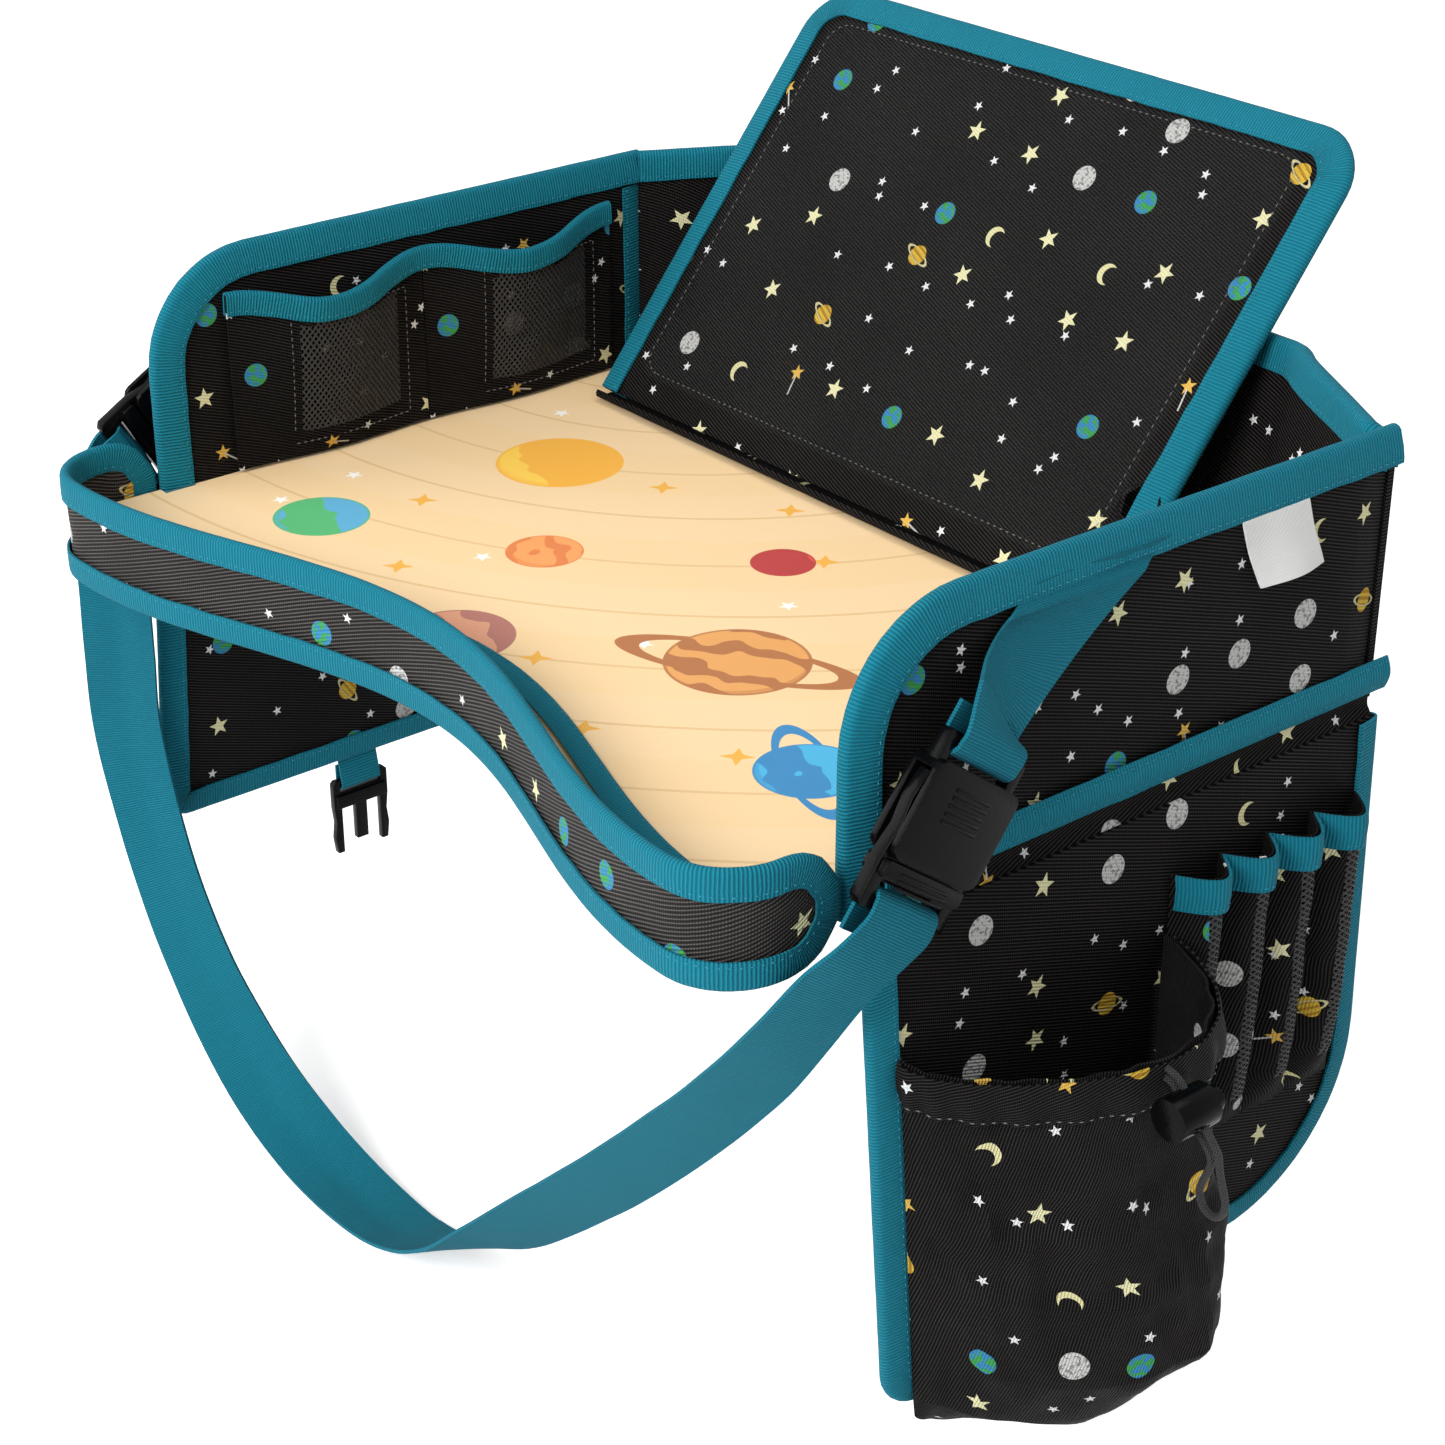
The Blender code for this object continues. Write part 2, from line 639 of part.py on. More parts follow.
def make_back_wall():
    clearance = 2 * BINDING_PROUD + BACK_THICKNESS / 2
    left = -WALL_INNER_X + clearance
    right = WALL_INNER_X - clearance
    foot_y = REAR_Y - BACK_THICKNESS / 2
    bow = back_bow()
    flat_start, flat_end = left + BACK_LEFT_RAMP, right - BACK_RIGHT_RAMP
    xs = [left + BACK_LEFT_RAMP * i / BACK_ROWS for i in range(BACK_ROWS)]
    xs += [flat_start + (flat_end - flat_start) * i / BACK_STEPS for i in range(BACK_STEPS)]
    xs += [flat_end + BACK_RIGHT_RAMP * i / BACK_STEPS for i in range(BACK_STEPS + 1)]
    rows = []
    edge = []
    for x in xs:
        share = back_bow_share(x, left, right)
        column = []
        for step in range(BACK_ROWS):
            rise = step / (BACK_ROWS - 1)
            out = bow * share * rise ** BACK_BULGE_RISE_SHARE
            column.append(Vector((x, foot_y + out, WALL_HEIGHT * rise)))
        rows.append(column)
        edge.append(column[-1])
    sheet("back_wall", rows, BACK_THICKNESS, "cloth", even=False)
    up = Vector((0, 0, 1))
    along = tangents(edge)
    lean = [(row[-1] - row[-2]).normalized() for row in rows]
    normals = [n.cross(t).normalized() for n, t in zip(lean, along)]
    ups = [t.cross(n).normalized() * (1 if t.cross(n).dot(up) > 0 else -1)
           for t, n in zip(along, normals)]
    channel("back_wall_binding", edge, ups, normals, BACK_THICKNESS / 2 + BACK_CLEARANCE, BINDING_LEG)


def make_piping(side, name, rear):
    """The webbing sewn over the seam between a side wall and its wing."""
    x = side * (HALF_WIDTH + 2 * GAP + SEAM_THICKNESS + BINDING_THICKNESS / 2)
    front = WALL_FRONT_Y + BINDING_LEG + GAP
    heights = (PIPING_CENTRE_Z - PIPING_HEIGHT / 2, PIPING_CENTRE_Z + PIPING_HEIGHT / 2)
    ys = [front + (rear - front) * i / PIPING_STEPS for i in range(PIPING_STEPS + 1)]
    rows = [[Vector((x, y, z)) for z in heights] for y in ys]
    sheet(name, rows, BINDING_THICKNESS, "binding")


def seam_span(side):
    """The stretch in Y where a wing hangs on its seam, between the legs of the bindings."""
    front = max(wing_front(side, WING_PIVOT_Z) + WING_LEG, WALL_FRONT_Y + BINDING_LEG) + SEAM_END_GAP
    return front, min(REAR_Y - WING_LEG, REAR_Y - BINDING_LEG) - SEAM_END_GAP


def make_seam(side, name):
    """The cloth strip that comes down from under the piping to the wing's rounded top."""
    outer = HALF_WIDTH + GAP + SEAM_THICKNESS
    reach = math.sqrt((WING_BEAD_RADIUS + GAP) ** 2 - (WING_X - outer) ** 2)
    front, rear = seam_span(side)
    outline = box_outline(front, rear, WING_PIVOT_Z + reach, SEAM_TOP_Z)
    plate(name, [outline], SEAM_THICKNESS, upright(side * (outer - SEAM_THICKNESS / 2)), "cloth")


def joint_empty(name, place):
    empty = bpy.data.objects.new(name, None)
    empty.location = place
    CUTTERS.objects.link(empty)
    return empty


def hang_on(empty, *names):
    bpy.context.view_layer.update()
    for name in names:
        piece = bpy.data.objects[name]
        piece.parent = empty
        piece.matrix_parent_inverse = empty.matrix_world.inverted()


def stand_point(x, up, out=0.0):
    """A point of the stand: x from its middle, up from the hinge, out of its front face."""
    return STAND_FOOT + Vector((x, 0, 0)) + STAND_UP * up + STAND_NORMAL * out


def circle(x, y, radius, steps=ROUND_STEPS):
    return [
        Vector((x + radius * math.cos(2 * math.pi * i / steps),
                y + radius * math.sin(2 * math.pi * i / steps)))
        for i in range(steps)
    ]


def make_stand():
    half = STAND_WIDTH / 2
    foot, top = STAND_FOOT_GAP, STAND_HEIGHT
    middle = stand_point(0, 0, -STAND_THICKNESS / 2)
    placed = frame_matrix(middle, (1, 0, 0), STAND_UP)
    corners = [(-half, foot, 0), (-half, top, STAND_CORNER_RADIUS), (half, top, STAND_CORNER_RADIUS),
               (half, foot, 0)]
    hole = circle(CABLE_HOLE_X, CABLE_HOLE_UP, CABLE_HOLE_RADIUS)
    cover = plate("tablet_panel_cover", [rounded(corners), hole], STAND_THICKNESS, placed, "cloth")
    inset = SLEEVE_EDGE
    radius = STAND_CORNER_RADIUS - inset
    right = CABLE_HOLE_X - CABLE_HOLE_RADIUS - BINDING_LEG / 2
    room = STAND_THICKNESS - 2 * PANEL_SLEEVE_WALL

    def inner(margin, low):
        left, high = -half + inset + margin, top - inset - margin
        return rounded([(left, low, 0), (left, high, radius), (right - margin, high, radius),
                        (right - margin, low, 0)])

    slot = cutter_of(plate_mesh("panel_slot", [inner(0, foot - OVERRUN)], room, placed), "panel_slot")
    combine(cover, slot, "DIFFERENCE")
    plate("tablet_panel_board", [inner(GAP, foot + GAP)], room - 2 * GAP, placed, "board")
    edge = [placed @ Vector((p[0], p[1], 0)) for p in rounded(corners)]
    outward = [STAND_NORMAL.cross(t) for t in tangents(edge)]
    channel("tablet_panel_binding", edge, outward, [STAND_NORMAL] * len(edge),
            STAND_THICKNESS / 2 + GAP, BINDING_LEG)
    film_place = frame_matrix(stand_point(0, 0, GAP + WINDOW_THICKNESS / 2), (1, 0, 0), STAND_UP)
    low = WINDOW_CENTRE_UP - WINDOW_HEIGHT / 2
    high = low + WINDOW_HEIGHT
    wide = WINDOW_WIDTH / 2
    window = rounded([(-wide, low, WINDOW_RADIUS), (-wide, high, WINDOW_RADIUS), (wide, high, WINDOW_RADIUS),
                      (wide, low, WINDOW_RADIUS)])
    plate("tablet_window", [window], WINDOW_THICKNESS, film_place, "film")
    hinge = joint_empty("tablet_stand_tilt", STAND_FOOT)
    hang_on(hinge, "tablet_panel_cover", "tablet_panel_board", "tablet_panel_binding", "tablet_window")


def make_hinge_strip():
    """The strip that sews the stand's foot to the deck."""
    flat_z = DECK_TOP_Z + GAP + HINGE_STRIP_THICKNESS / 2
    y = STAND_FOOT_Y
    profile = [
        (y + HINGE_STRIP_DEPTH, flat_z),
        (y + HINGE_STRIP_DEPTH / 3, flat_z),
        (y, flat_z + HINGE_STRIP_THICKNESS / 2),
        (y - HINGE_STRIP_THICKNESS, STAND_HINGE_Z - HINGE_STRIP_THICKNESS),
        (y, STAND_HINGE_Z + HINGE_STRIP_THICKNESS / 2),
    ]
    half = STAND_WIDTH / 2
    rows = [[Vector((STAND_CENTRE_X + side * half, py, pz)) for py, pz in profile]
            for side in (-1, 1)]
    sheet("tablet_hinge_strip", rows, HINGE_STRIP_THICKNESS, "cloth")


def wing_front(side, z):
    """The front edge of a wing at a height. side is 1 for the right wing and -1 for the left one."""
    if side > 0:
        return RIGHT_WING_FRONT_Y + RIGHT_WING_SLANT * -z / RIGHT_WING_DEPTH
    return WALL_FRONT_Y + LEFT_WING_SLANT * -z / LEFT_WING_DEPTH


def wing_outline(side, margin, top):
    """The open outline of a wing, from its front top down and back up to its rear top."""
    depth, front_radius, rear_radius = (
        (RIGHT_WING_DEPTH, WING_RADIUS, RIGHT_WING_REAR_RADIUS) if side > 0
        else (LEFT_WING_DEPTH, LEFT_WING_RADIUS, WING_RADIUS)
    )
    bottom = -depth + margin
    rear_low = REAR_Y + WING_REAR_SLANT * -bottom / depth
    rear_high = REAR_Y + WING_REAR_SLANT * -top / depth
    return rounded([
        (wing_front(side, top) + margin, top, 0),
        (wing_front(side, bottom) + margin, bottom, max(front_radius - margin, 0)),
        (rear_low - margin, bottom, max(rear_radius - margin, 0)),
        (rear_high - margin, top, 0),
    ])


def make_wing(side, name):
    x = side * WING_X
    outline = wing_outline(side, 0, WING_TOP_Z)
    slot = wing_outline(side, SLEEVE_EDGE, WING_TOP_Z + OVERRUN)
    front, rear = seam_span(side)
    placed = frame_matrix((x, front, WING_PIVOT_Z), (1, 0, 0), (0, 0, -1))
    bead = cutter_of(drum(name + "_bead", WING_BEAD_RADIUS, rear - front, placed), name + "_bead")
    room = sleeve(name + "_cover", outline, slot, x, WING_THICKNESS, PANEL_SLEEVE_WALL, bead)
    board = wing_outline(side, SLEEVE_EDGE + GAP, WING_TOP_Z - GAP)
    plate(name + "_board", [board], room - 2 * GAP, upright(x), "board")
    edge = [Vector((x, p[0], p[1])) for p in outline]
    normal = Vector((1, 0, 0))
    outward = [normal.cross(t) for t in tangents(edge)]
    if outward[0][1] > 0:
        outward = [-o for o in outward]
    channel(name + "_binding", edge, outward, [normal] * len(edge), WING_THICKNESS / 2 + GAP, WING_LEG)


def pouch_bulge(z):
    """How far the pouch stands out at a height, as a share of its depth."""
    drop = (POUCH_MOUTH_Z - z) / (POUCH_MOUTH_Z - POUCH_BOTTOM_Z)
    places = list(zip(POUCH_DROP_SHARES, POUCH_BULGE_SHARES))
    for (d0, b0), (d1, b1) in zip(places, places[1:]):
        if drop <= d1:
            break
    return b0 + (b1 - b0) * (drop - d0) / (d1 - d0)


def pouch_point(turn, z, grow=0.0):
    """A point of the pouch's wall: turn runs from -90 degrees at its front seam to 90 at its rear one."""
    front = wing_front(1, z) + POUCH_FRONT_INSET
    middle = (front + POUCH_REAR_Y) / 2
    half = (POUCH_REAR_Y - front) / 2 + grow
    depth = POUCH_DEPTH * pouch_bulge(z) * (1 + POUCH_SKEW_SHARE * math.sin(turn)) + grow
    return Vector((POUCH_BASE_X + depth * math.cos(turn), middle + half * math.sin(turn),
                   z - POUCH_SAG * math.cos(turn)))


def make_pouch():
    turns = [-math.pi / 2 + math.pi * i / POUCH_STEPS for i in range(POUCH_STEPS + 1)]
    height = POUCH_MOUTH_Z - POUCH_BOTTOM_Z
    rows = [[pouch_point(t, POUCH_MOUTH_Z - height * drop) for t in turns] for drop in POUCH_DROP_SHARES]
    sheet("bottle_pouch", rows, POUCH_THICKNESS, "cloth", even=False)
    hem = [[pouch_point(t, POUCH_MOUTH_Z - HEM_HEIGHT * step / 2, HEM_GROW) for t in turns[1:-1]]
           for step in range(3)]
    sheet("pouch_hem", hem, HEM_THICKNESS, "cloth", even=False)


def marker_x(y):
    pitch = (MARKER_REAR_Y - MARKER_FRONT_Y) / MARKER_COUNT
    phase = (y - MARKER_FRONT_Y) / pitch
    return abs(math.sin(math.pi * phase))


def make_marker_pocket():
    count = MARKER_COUNT * MARKER_STEPS
    width = MARKER_REAR_Y - MARKER_FRONT_Y
    ys = [MARKER_FRONT_Y + width * i / count for i in range(count + 1)]
    height = MARKER_TOP_Z - MARKER_BOTTOM_Z
    rows = []
    for drop, bulge in zip(MARKER_DROP_SHARES, MARKER_BULGE_SHARES):
        z = MARKER_TOP_Z - height * drop
        rows.append([Vector((MARKER_BASE_X + MARKER_BULGE * bulge * marker_x(y), y, z)) for y in ys])
    sheet("marker_pocket", rows, NET_THICKNESS, "net", even=False)
    lift = NET_THICKNESS + BINDING_THICKNESS + GAP
    band = [
        [Vector((MARKER_BASE_X + lift + MARKER_BULGE * marker_x(y), y, MARKER_TOP_Z - drop))
         for y in ys]
        for drop in (-GAP, ELASTIC_HEIGHT / 2, ELASTIC_HEIGHT)
    ]
    sheet("marker_elastic", band, BINDING_THICKNESS, "binding", even=False)


def pocket_wave(y):
    """0 at the pockets' seams, 1 in the middle of each."""
    if y < POCKET_SEAM_Y:
        share = (y - POCKET_FRONT_Y) / (POCKET_SEAM_Y - POCKET_FRONT_Y)
    else:
        share = (y - POCKET_SEAM_Y) / (POCKET_REAR_Y - POCKET_SEAM_Y)
    return math.sin(math.pi * min(max(share, 0), 1)) ** 2


def pocket_x(y, rise):
    base = -WALL_INNER_X + 2 * GAP + POCKET_THICKNESS + BINDING_PROUD
    return base + POCKET_BULGE * pocket_wave(y) * math.sin(math.pi / 2 * min(rise + POCKET_FOOT_SHARE, 1))


def make_pockets():
    base_z = DECK_TOP_Z + 2 * GAP
    edge = []
    for name, start, end in (
        ("left_pocket_front", POCKET_FRONT_Y, POCKET_SEAM_Y - GAP),
        ("left_pocket_rear", POCKET_SEAM_Y + GAP, POCKET_REAR_Y),
    ):
        ys = [start + (end - start) * i / POCKET_STEPS for i in range(POCKET_STEPS + 1)]
        rows = []
        for y in ys:
            top = POCKET_SEAM_Z - POCKET_DIP * pocket_wave(y)
            rises = [step / (POCKET_ROWS - 1) for step in range(POCKET_ROWS)]
            rows.append([Vector((pocket_x(y, r), y, base_z + (top - base_z) * r)) for r in rises])
        sheet(name, rows, POCKET_THICKNESS, "net", even=False)
        edge += [row[-1] for row in rows]
    middle = len(edge) // 2
    edge[middle - 1] = (edge[middle - 1] + edge[middle]) / 2
    del edge[middle]
    up = Vector((0, 0, 1))
    along = tangents(edge)
    normals = [t.cross(up).normalized() for t in along]
    outward = [(n.cross(t)).normalized() for n, t in zip(normals, along)]
    channel("left_pocket_binding", edge, outward, normals, POCKET_THICKNESS / 2 + 2 * GAP, POCKET_LEG)


def smooth_route(stations, per_span):
    """A smooth curve through (point, width direction) stations."""
    found = []
    count = len(stations)
    for i in range(count - 1):
        a = stations[max(i - 1, 0)]
        b, c = stations[i], stations[i + 1]
        d = stations[min(i + 2, count - 1)]
        for step in range(per_span):
            t = step / per_span
            mixed = []
            for k in (0, 1):
                p0, p1, p2, p3 = (Vector(s[k]) for s in (a, b, c, d))
                mixed.append(
                    (p1 * 2 + (p2 - p0) * t + (p0 * 2 - p1 * 5 + p2 * 4 - p3) * t * t
                     + (p1 * 3 - p0 - p2 * 3 + p3) * t ** 3) / 2
                )
            stretch = Vector(b[1]).length * (1 - t) + Vector(c[1]).length * t
            found.append((mixed[0], mixed[1].normalized() * stretch))
    last = stations[-1]
    found.append((Vector(last[0]), Vector(last[1])))
    return found


def ribbon(name, stations, width, thickness, finish="webbing"):
    rows = [[p - w * width / 2, p, p + w * width / 2] for p, w in stations]
    return sheet(name, rows, thickness, finish, even=False)


def wrap_round_bar(bar, toward, normal, across, tail, half, reach):
    """Webbing that comes along `toward`, turns round a bar and lies back under itself."""
    found = [(bar - toward * reach + normal * half, across)]
    for i in range(WRAP_STEPS + 1):
        angle = math.pi / 2 - math.pi * i / WRAP_STEPS
        found.append((bar + toward * half * math.cos(angle) + normal * half * math.sin(angle), across))
    found.append((bar - toward * tail - normal * half, across))
    return found


def buckle_sizes(scale=1.0, stretch=1.0):
    """The buckle's sizes, scaled for the small clips. stretch lengthens what runs along the webbing."""
    across = {
        "width": BUCKLE_WIDTH, "frame": BUCKLE_FRAME_THICKNESS, "housing": BUCKLE_HOUSING_THICKNESS,
        "cavity": BUCKLE_CAVITY_THICKNESS, "bar": BUCKLE_BAR, "slot": BUCKLE_SLOT,
        "slot_width": BUCKLE_SLOT_WIDTH, "margin": BUCKLE_END_MARGIN, "arm_width": PLUG_ARM_WIDTH,
        "tongue_width": PLUG_TONGUE_WIDTH, "corner": BUCKLE_CORNER_RADIUS,
    }
    along = {
        "base": PLUG_BASE_LENGTH, "arm": PLUG_ARM_LENGTH, "tongue": PLUG_TONGUE_LENGTH,
        "shell": SOCKET_HOUSING_LENGTH, "depth": SOCKET_CAVITY_DEPTH, "length": BUCKLE_LENGTH,
    }
    found = {key: value * scale for key, value in across.items()}
    found.update({key: value * scale * stretch for key, value in along.items()})
    return found


def box_outline(x0, x1, y0, y1, radius=0.0):
    return rounded([(x0, y0, radius), (x0, y1, radius), (x1, y1, radius), (x1, y0, radius)], 3)


def make_plug(name, placed, s):
    """Base with a slot for the webbing, two arms and a tongue. Y 0 is its free end."""
    half = s["width"] / 2
    inside = half - s["arm_width"]
    tip = s["base"] + s["arm"]
    bulge = s["arm_width"] * PLUG_WAIST_SHARE
    tongue = s["tongue_width"] / 2
    right = [
        (half - s["corner"] / 2, 0), (half, s["corner"] / 2), (half, s["base"]),
        (half - bulge, s["base"] + s["arm"] / 3), (half, tip - s["arm"] / 3),
        (half - bulge, tip), (inside - bulge, tip), (inside - bulge, s["base"] + bulge),
        (tongue, s["base"] + bulge), (tongue, s["base"] + s["tongue"]),
    ]
    outline = [Vector(p) for p in right] + [Vector((-p[0], p[1])) for p in reversed(right)]
    bar_end = s["margin"] + s["bar"]
    slot = box_outline(-s["slot_width"] / 2, s["slot_width"] / 2, bar_end, bar_end + s["slot"])
    obj = plate(name, [outline, slot], s["frame"], placed, "plastic")
    low = bar_end + s["slot"] + s["margin"]
    block = box_outline(-half + s["margin"], half - s["margin"], low, s["base"] - s["margin"] / 4,
                        s["margin"])
    thick = s["housing"] * PLUG_BLOCK_SHARE
    extra = cutter_of(plate_mesh(name + "_block", [block], thick, placed), name + "_block")
    combine(obj, extra, "UNION")


def make_socket(name, placed, s):
    """Housing open at its mouth and sides, and a frame with a slot for the webbing."""
    half = s["width"] / 2
    mouth = s["base"] + 2 * GAP
    back = mouth + s["shell"]
    top = s["length"]
    frame = box_outline(-half + s["margin"], half - s["margin"], back - s["corner"], top, s["margin"])
    bar_start = top - s["margin"] - s["bar"]
    slot = box_outline(-s["slot_width"] / 2, s["slot_width"] / 2, bar_start - s["slot"], bar_start)
    obj = plate(name, [frame, slot], s["frame"], placed, "plastic")
    shell_outline = box_outline(-half, half, mouth, back - s["slot"] / 2, s["corner"])
    shell = cutter_of(plate_mesh(name + "_shell", [shell_outline], s["housing"], placed), name + "_shell")
    combine(obj, shell, "UNION")
    room = box_outline(-half - OVERRUN, half + OVERRUN, mouth - OVERRUN, mouth + s["depth"])
    cavity = cutter_of(plate_mesh(name + "_cavity", [room], s["cavity"], placed), name + "_cavity")
    combine(obj, cavity, "DIFFERENCE")


def make_strap_side(side, name, buckle_top, slope):
    """One main buckle with its anchor strap. Returns the webbing's turn round the plug's bar."""
    down = Vector((0, *slope)).normalized()
    toward = -down
    normal = Vector((side, 0, 0))
    top = Vector((side * (HALF_WIDTH + BUCKLE_OFFSET), *buckle_top))
    free_end = top + down * BUCKLE_LENGTH
    placed = frame_matrix(free_end, toward.cross(normal), toward)
    make_socket(name + "_buckle_socket", placed, buckle_sizes())
    make_plug(name + "_buckle_plug", placed, buckle_sizes())
    half = math.hypot(BUCKLE_FRAME_THICKNESS, BUCKLE_BAR) / 2 + GAP + WEBBING_THICKNESS / 2
    bar_in = BUCKLE_END_MARGIN + BUCKLE_BAR / 2
    width = Vector((0, -down[2], down[1]))
    reach = 2 * BUCKLE_BAR
    wrap = wrap_round_bar(top + down * bar_in, down, normal, width, 2 * reach, half, reach)
    face = side * (HALF_WIDTH + BINDING_PROUD + GAP + WEBBING_THICKNESS / 2)
    sewn = Vector((face, ANCHOR_TOP_Y, WALL_HEIGHT - GAP))
    lean = (sewn - Vector((face, *buckle_top))).normalized()
    flat = (sewn - lean * WEBBING_WIDTH * ANCHOR_FLAT_SHARE, Vector((0, lean[2], -lean[1])))
    level_end = (sewn, Vector((0, 1 / lean[2], 0)))
    ribbon(name + "_anchor_strap", [level_end] + smooth_route([flat] + wrap, 2), WEBBING_WIDTH,
           WEBBING_THICKNESS)
    hinge = joint_empty(name + "_plug_release", free_end)
    hang_on(hinge, name + "_buckle_plug")
    return wrap_round_bar(free_end + toward * bar_in, toward, normal, width, 2 * reach, half, reach)


# The main strap's hanging route: points and the direction of its width, in metres
STRAP_ROUTE = (
    ((-0.2240, -0.1125, 0.0020), (0.05, 0.62, -0.78)),
    ((-0.2195, -0.1150, -0.0120), (0.35, 0.75, -0.55)),
    ((-0.2140, -0.1160, -0.0320), (0.70, 0.66, -0.25)),
    ((-0.2135, -0.1165, -0.0620), (0.76, 0.65, 0.0)),
    ((-0.2135, -0.1165, -0.0950), (0.78, 0.62, 0.10)),
    ((-0.2030, -0.1160, -0.1330), (0.74, 0.58, 0.32)),
    ((-0.1870, -0.1160, -0.1660), (0.70, 0.56, 0.43)),
    ((-0.1620, -0.1160, -0.1970), (0.60, 0.62, 0.50)),
    ((-0.1270, -0.1160, -0.2230), (0.35, 0.78, 0.50)),
    ((-0.0920, -0.1155, -0.2370), (0.12, 0.91, 0.38)),
    ((-0.0570, -0.1150, -0.2430), (0.0, 0.98, 0.17)),
    ((-0.0200, -0.1150, -0.2410), (0.02, 1.0, -0.08)),
    ((0.0130, -0.1150, -0.2280), (0.16, 0.95, -0.26)),
    ((0.0450, -0.1150, -0.2040), (0.40, 0.80, -0.43)),
    ((0.0780, -0.1150, -0.1740), (0.49, 0.71, -0.50)),
    ((0.1200, -0.1150, -0.1340), (0.50, 0.70, -0.51)),
    ((0.1620, -0.1150, -0.0900), (0.45, 0.75, -0.48)),
    ((0.1890, -0.1150, -0.0590), (0.36, 0.81, -0.46)),
    ((0.2090, -0.1140, -0.0320), (0.20, 0.85, -0.48)),
    ((0.2210, -0.1085, -0.0120), (0.08, 0.82, -0.57)),
    ((0.2270, -0.1010, -0.0020), (0.0, 0.80, -0.60)),
)


def make_straps():
    right = make_strap_side(1, "right", RIGHT_BUCKLE_TOP, RIGHT_BUCKLE_SLOPE)
    left = make_strap_side(-1, "left", LEFT_BUCKLE_TOP, LEFT_BUCKLE_SLOPE)
    ribbon("carry_strap", smooth_route(left[::-1] + list(STRAP_ROUTE) + right, 2), WEBBING_WIDTH,
           WEBBING_THICKNESS)


def left_clip_pivot():
    return Vector((-WING_X, CLIP_Y, -LEFT_WING_DEPTH - BINDING_PROUD - LEFT_CLIP_GAP))


def make_clips():
    """The small clip below the left wing, and its mate behind the right wing."""
    small = buckle_sizes(CLIP_SCALE_SHARE, CLIP_STRETCH_SHARE)
    half = math.hypot(small["frame"], small["bar"]) / 2 + GAP + BINDING_THICKNESS / 2
    bar_in = small["margin"] + small["bar"] / 2
    across = Vector((0, 1, 0))
    down = Vector((0, 0, -1))
    inward = Vector((-1, 0, 0))
    left_bar = left_clip_pivot() + down * CLIP_TAB_LENGTH
    make_plug("left_clip_plug", frame_matrix(left_bar - down * bar_in, -across, down), small)
    turn = wrap_round_bar(left_bar, down, inward, across, 0.0, half, 0.0)[1:-1]
    tail = Vector((turn[0][0][0], CLIP_Y, left_clip_pivot()[2] - LEFT_CLIP_TAIL))
    top = left_clip_pivot() + down * GAP
    ribbon("left_clip_tab", [(tail, across)] + turn + [(top, across)], CLIP_TAB_WIDTH,
           BINDING_THICKNESS)
    face = WING_X - WING_THICKNESS / 2
    mate_bar = Vector((face - CLIP_LIFT, CLIP_Y, RIGHT_CLIP_TOP_Z - CLIP_TAB_LENGTH))
    placed = frame_matrix(mate_bar + down * (small["length"] - bar_in), across, -down)
    make_socket("right_clip_socket", placed, small)
    turn = wrap_round_bar(mate_bar, down, inward, across, 0.0, half, 0.0)[1:-1]
    sewn_x = face - GAP - BINDING_THICKNESS / 2
    over_bar = mate_bar[2] + small["frame"]
    lead = [
        (Vector((turn[-1][0][0], CLIP_Y, over_bar)), across),
        (Vector((sewn_x, CLIP_Y, RIGHT_CLIP_TOP_Z)), across),
        (Vector((sewn_x, CLIP_Y, RIGHT_CLIP_TOP_Z + RIGHT_CLIP_LEAD)), across),
    ]
    tail = [(Vector((turn[0][0][0], CLIP_Y, over_bar)), across)]
    ribbon("right_clip_tab", tail + turn + lead, CLIP_TAB_WIDTH, BINDING_THICKNESS)


def drum(name, radius, length, placed):
    bm = bmesh.new()
    bmesh.ops.create_cone(bm, cap_ends=True, segments=ROUND_STEPS, radius1=radius, radius2=radius,
                          depth=length, matrix=placed @ level(length / 2))
    mesh = bpy.data.meshes.new(name)
    bm.to_mesh(mesh)
    bm.free()
    return mesh


def wire(name, points, radius, finish):
    data = bpy.data.curves.new(name, "CURVE")
    data.dimensions = "3D"
    data.bevel_depth = radius
    data.bevel_resolution = 2
    data.use_fill_caps = True
    spline = data.splines.new("POLY")
    spline.points.add(len(points) - 1)
    for point, place in zip(spline.points, points):
        point.co = (*place, 1)
    curve = bpy.data.objects.new(name, data)
    CUTTERS.objects.link(curve)
    obj = add_object(name, mesh_of_curve(curve, Matrix.Identity(4)), finish)
    obj.data.shade_smooth()
    return obj


def cord_exit():
    """Where the drawstring's two ends leave the hem, halfway between them."""
    out = HEM_GROW + HEM_THICKNESS / 2 + CORD_CLEARANCE
    return pouch_point(LOCK_ANGLE, CORD_TOP_Z) + Vector((out, 0, 0))


def lock_place():
    """Where the cord lock's middle hangs, out and down from the hem."""
    return cord_exit() + Vector((LOCK_OUT, 0, -LOCK_DROP))


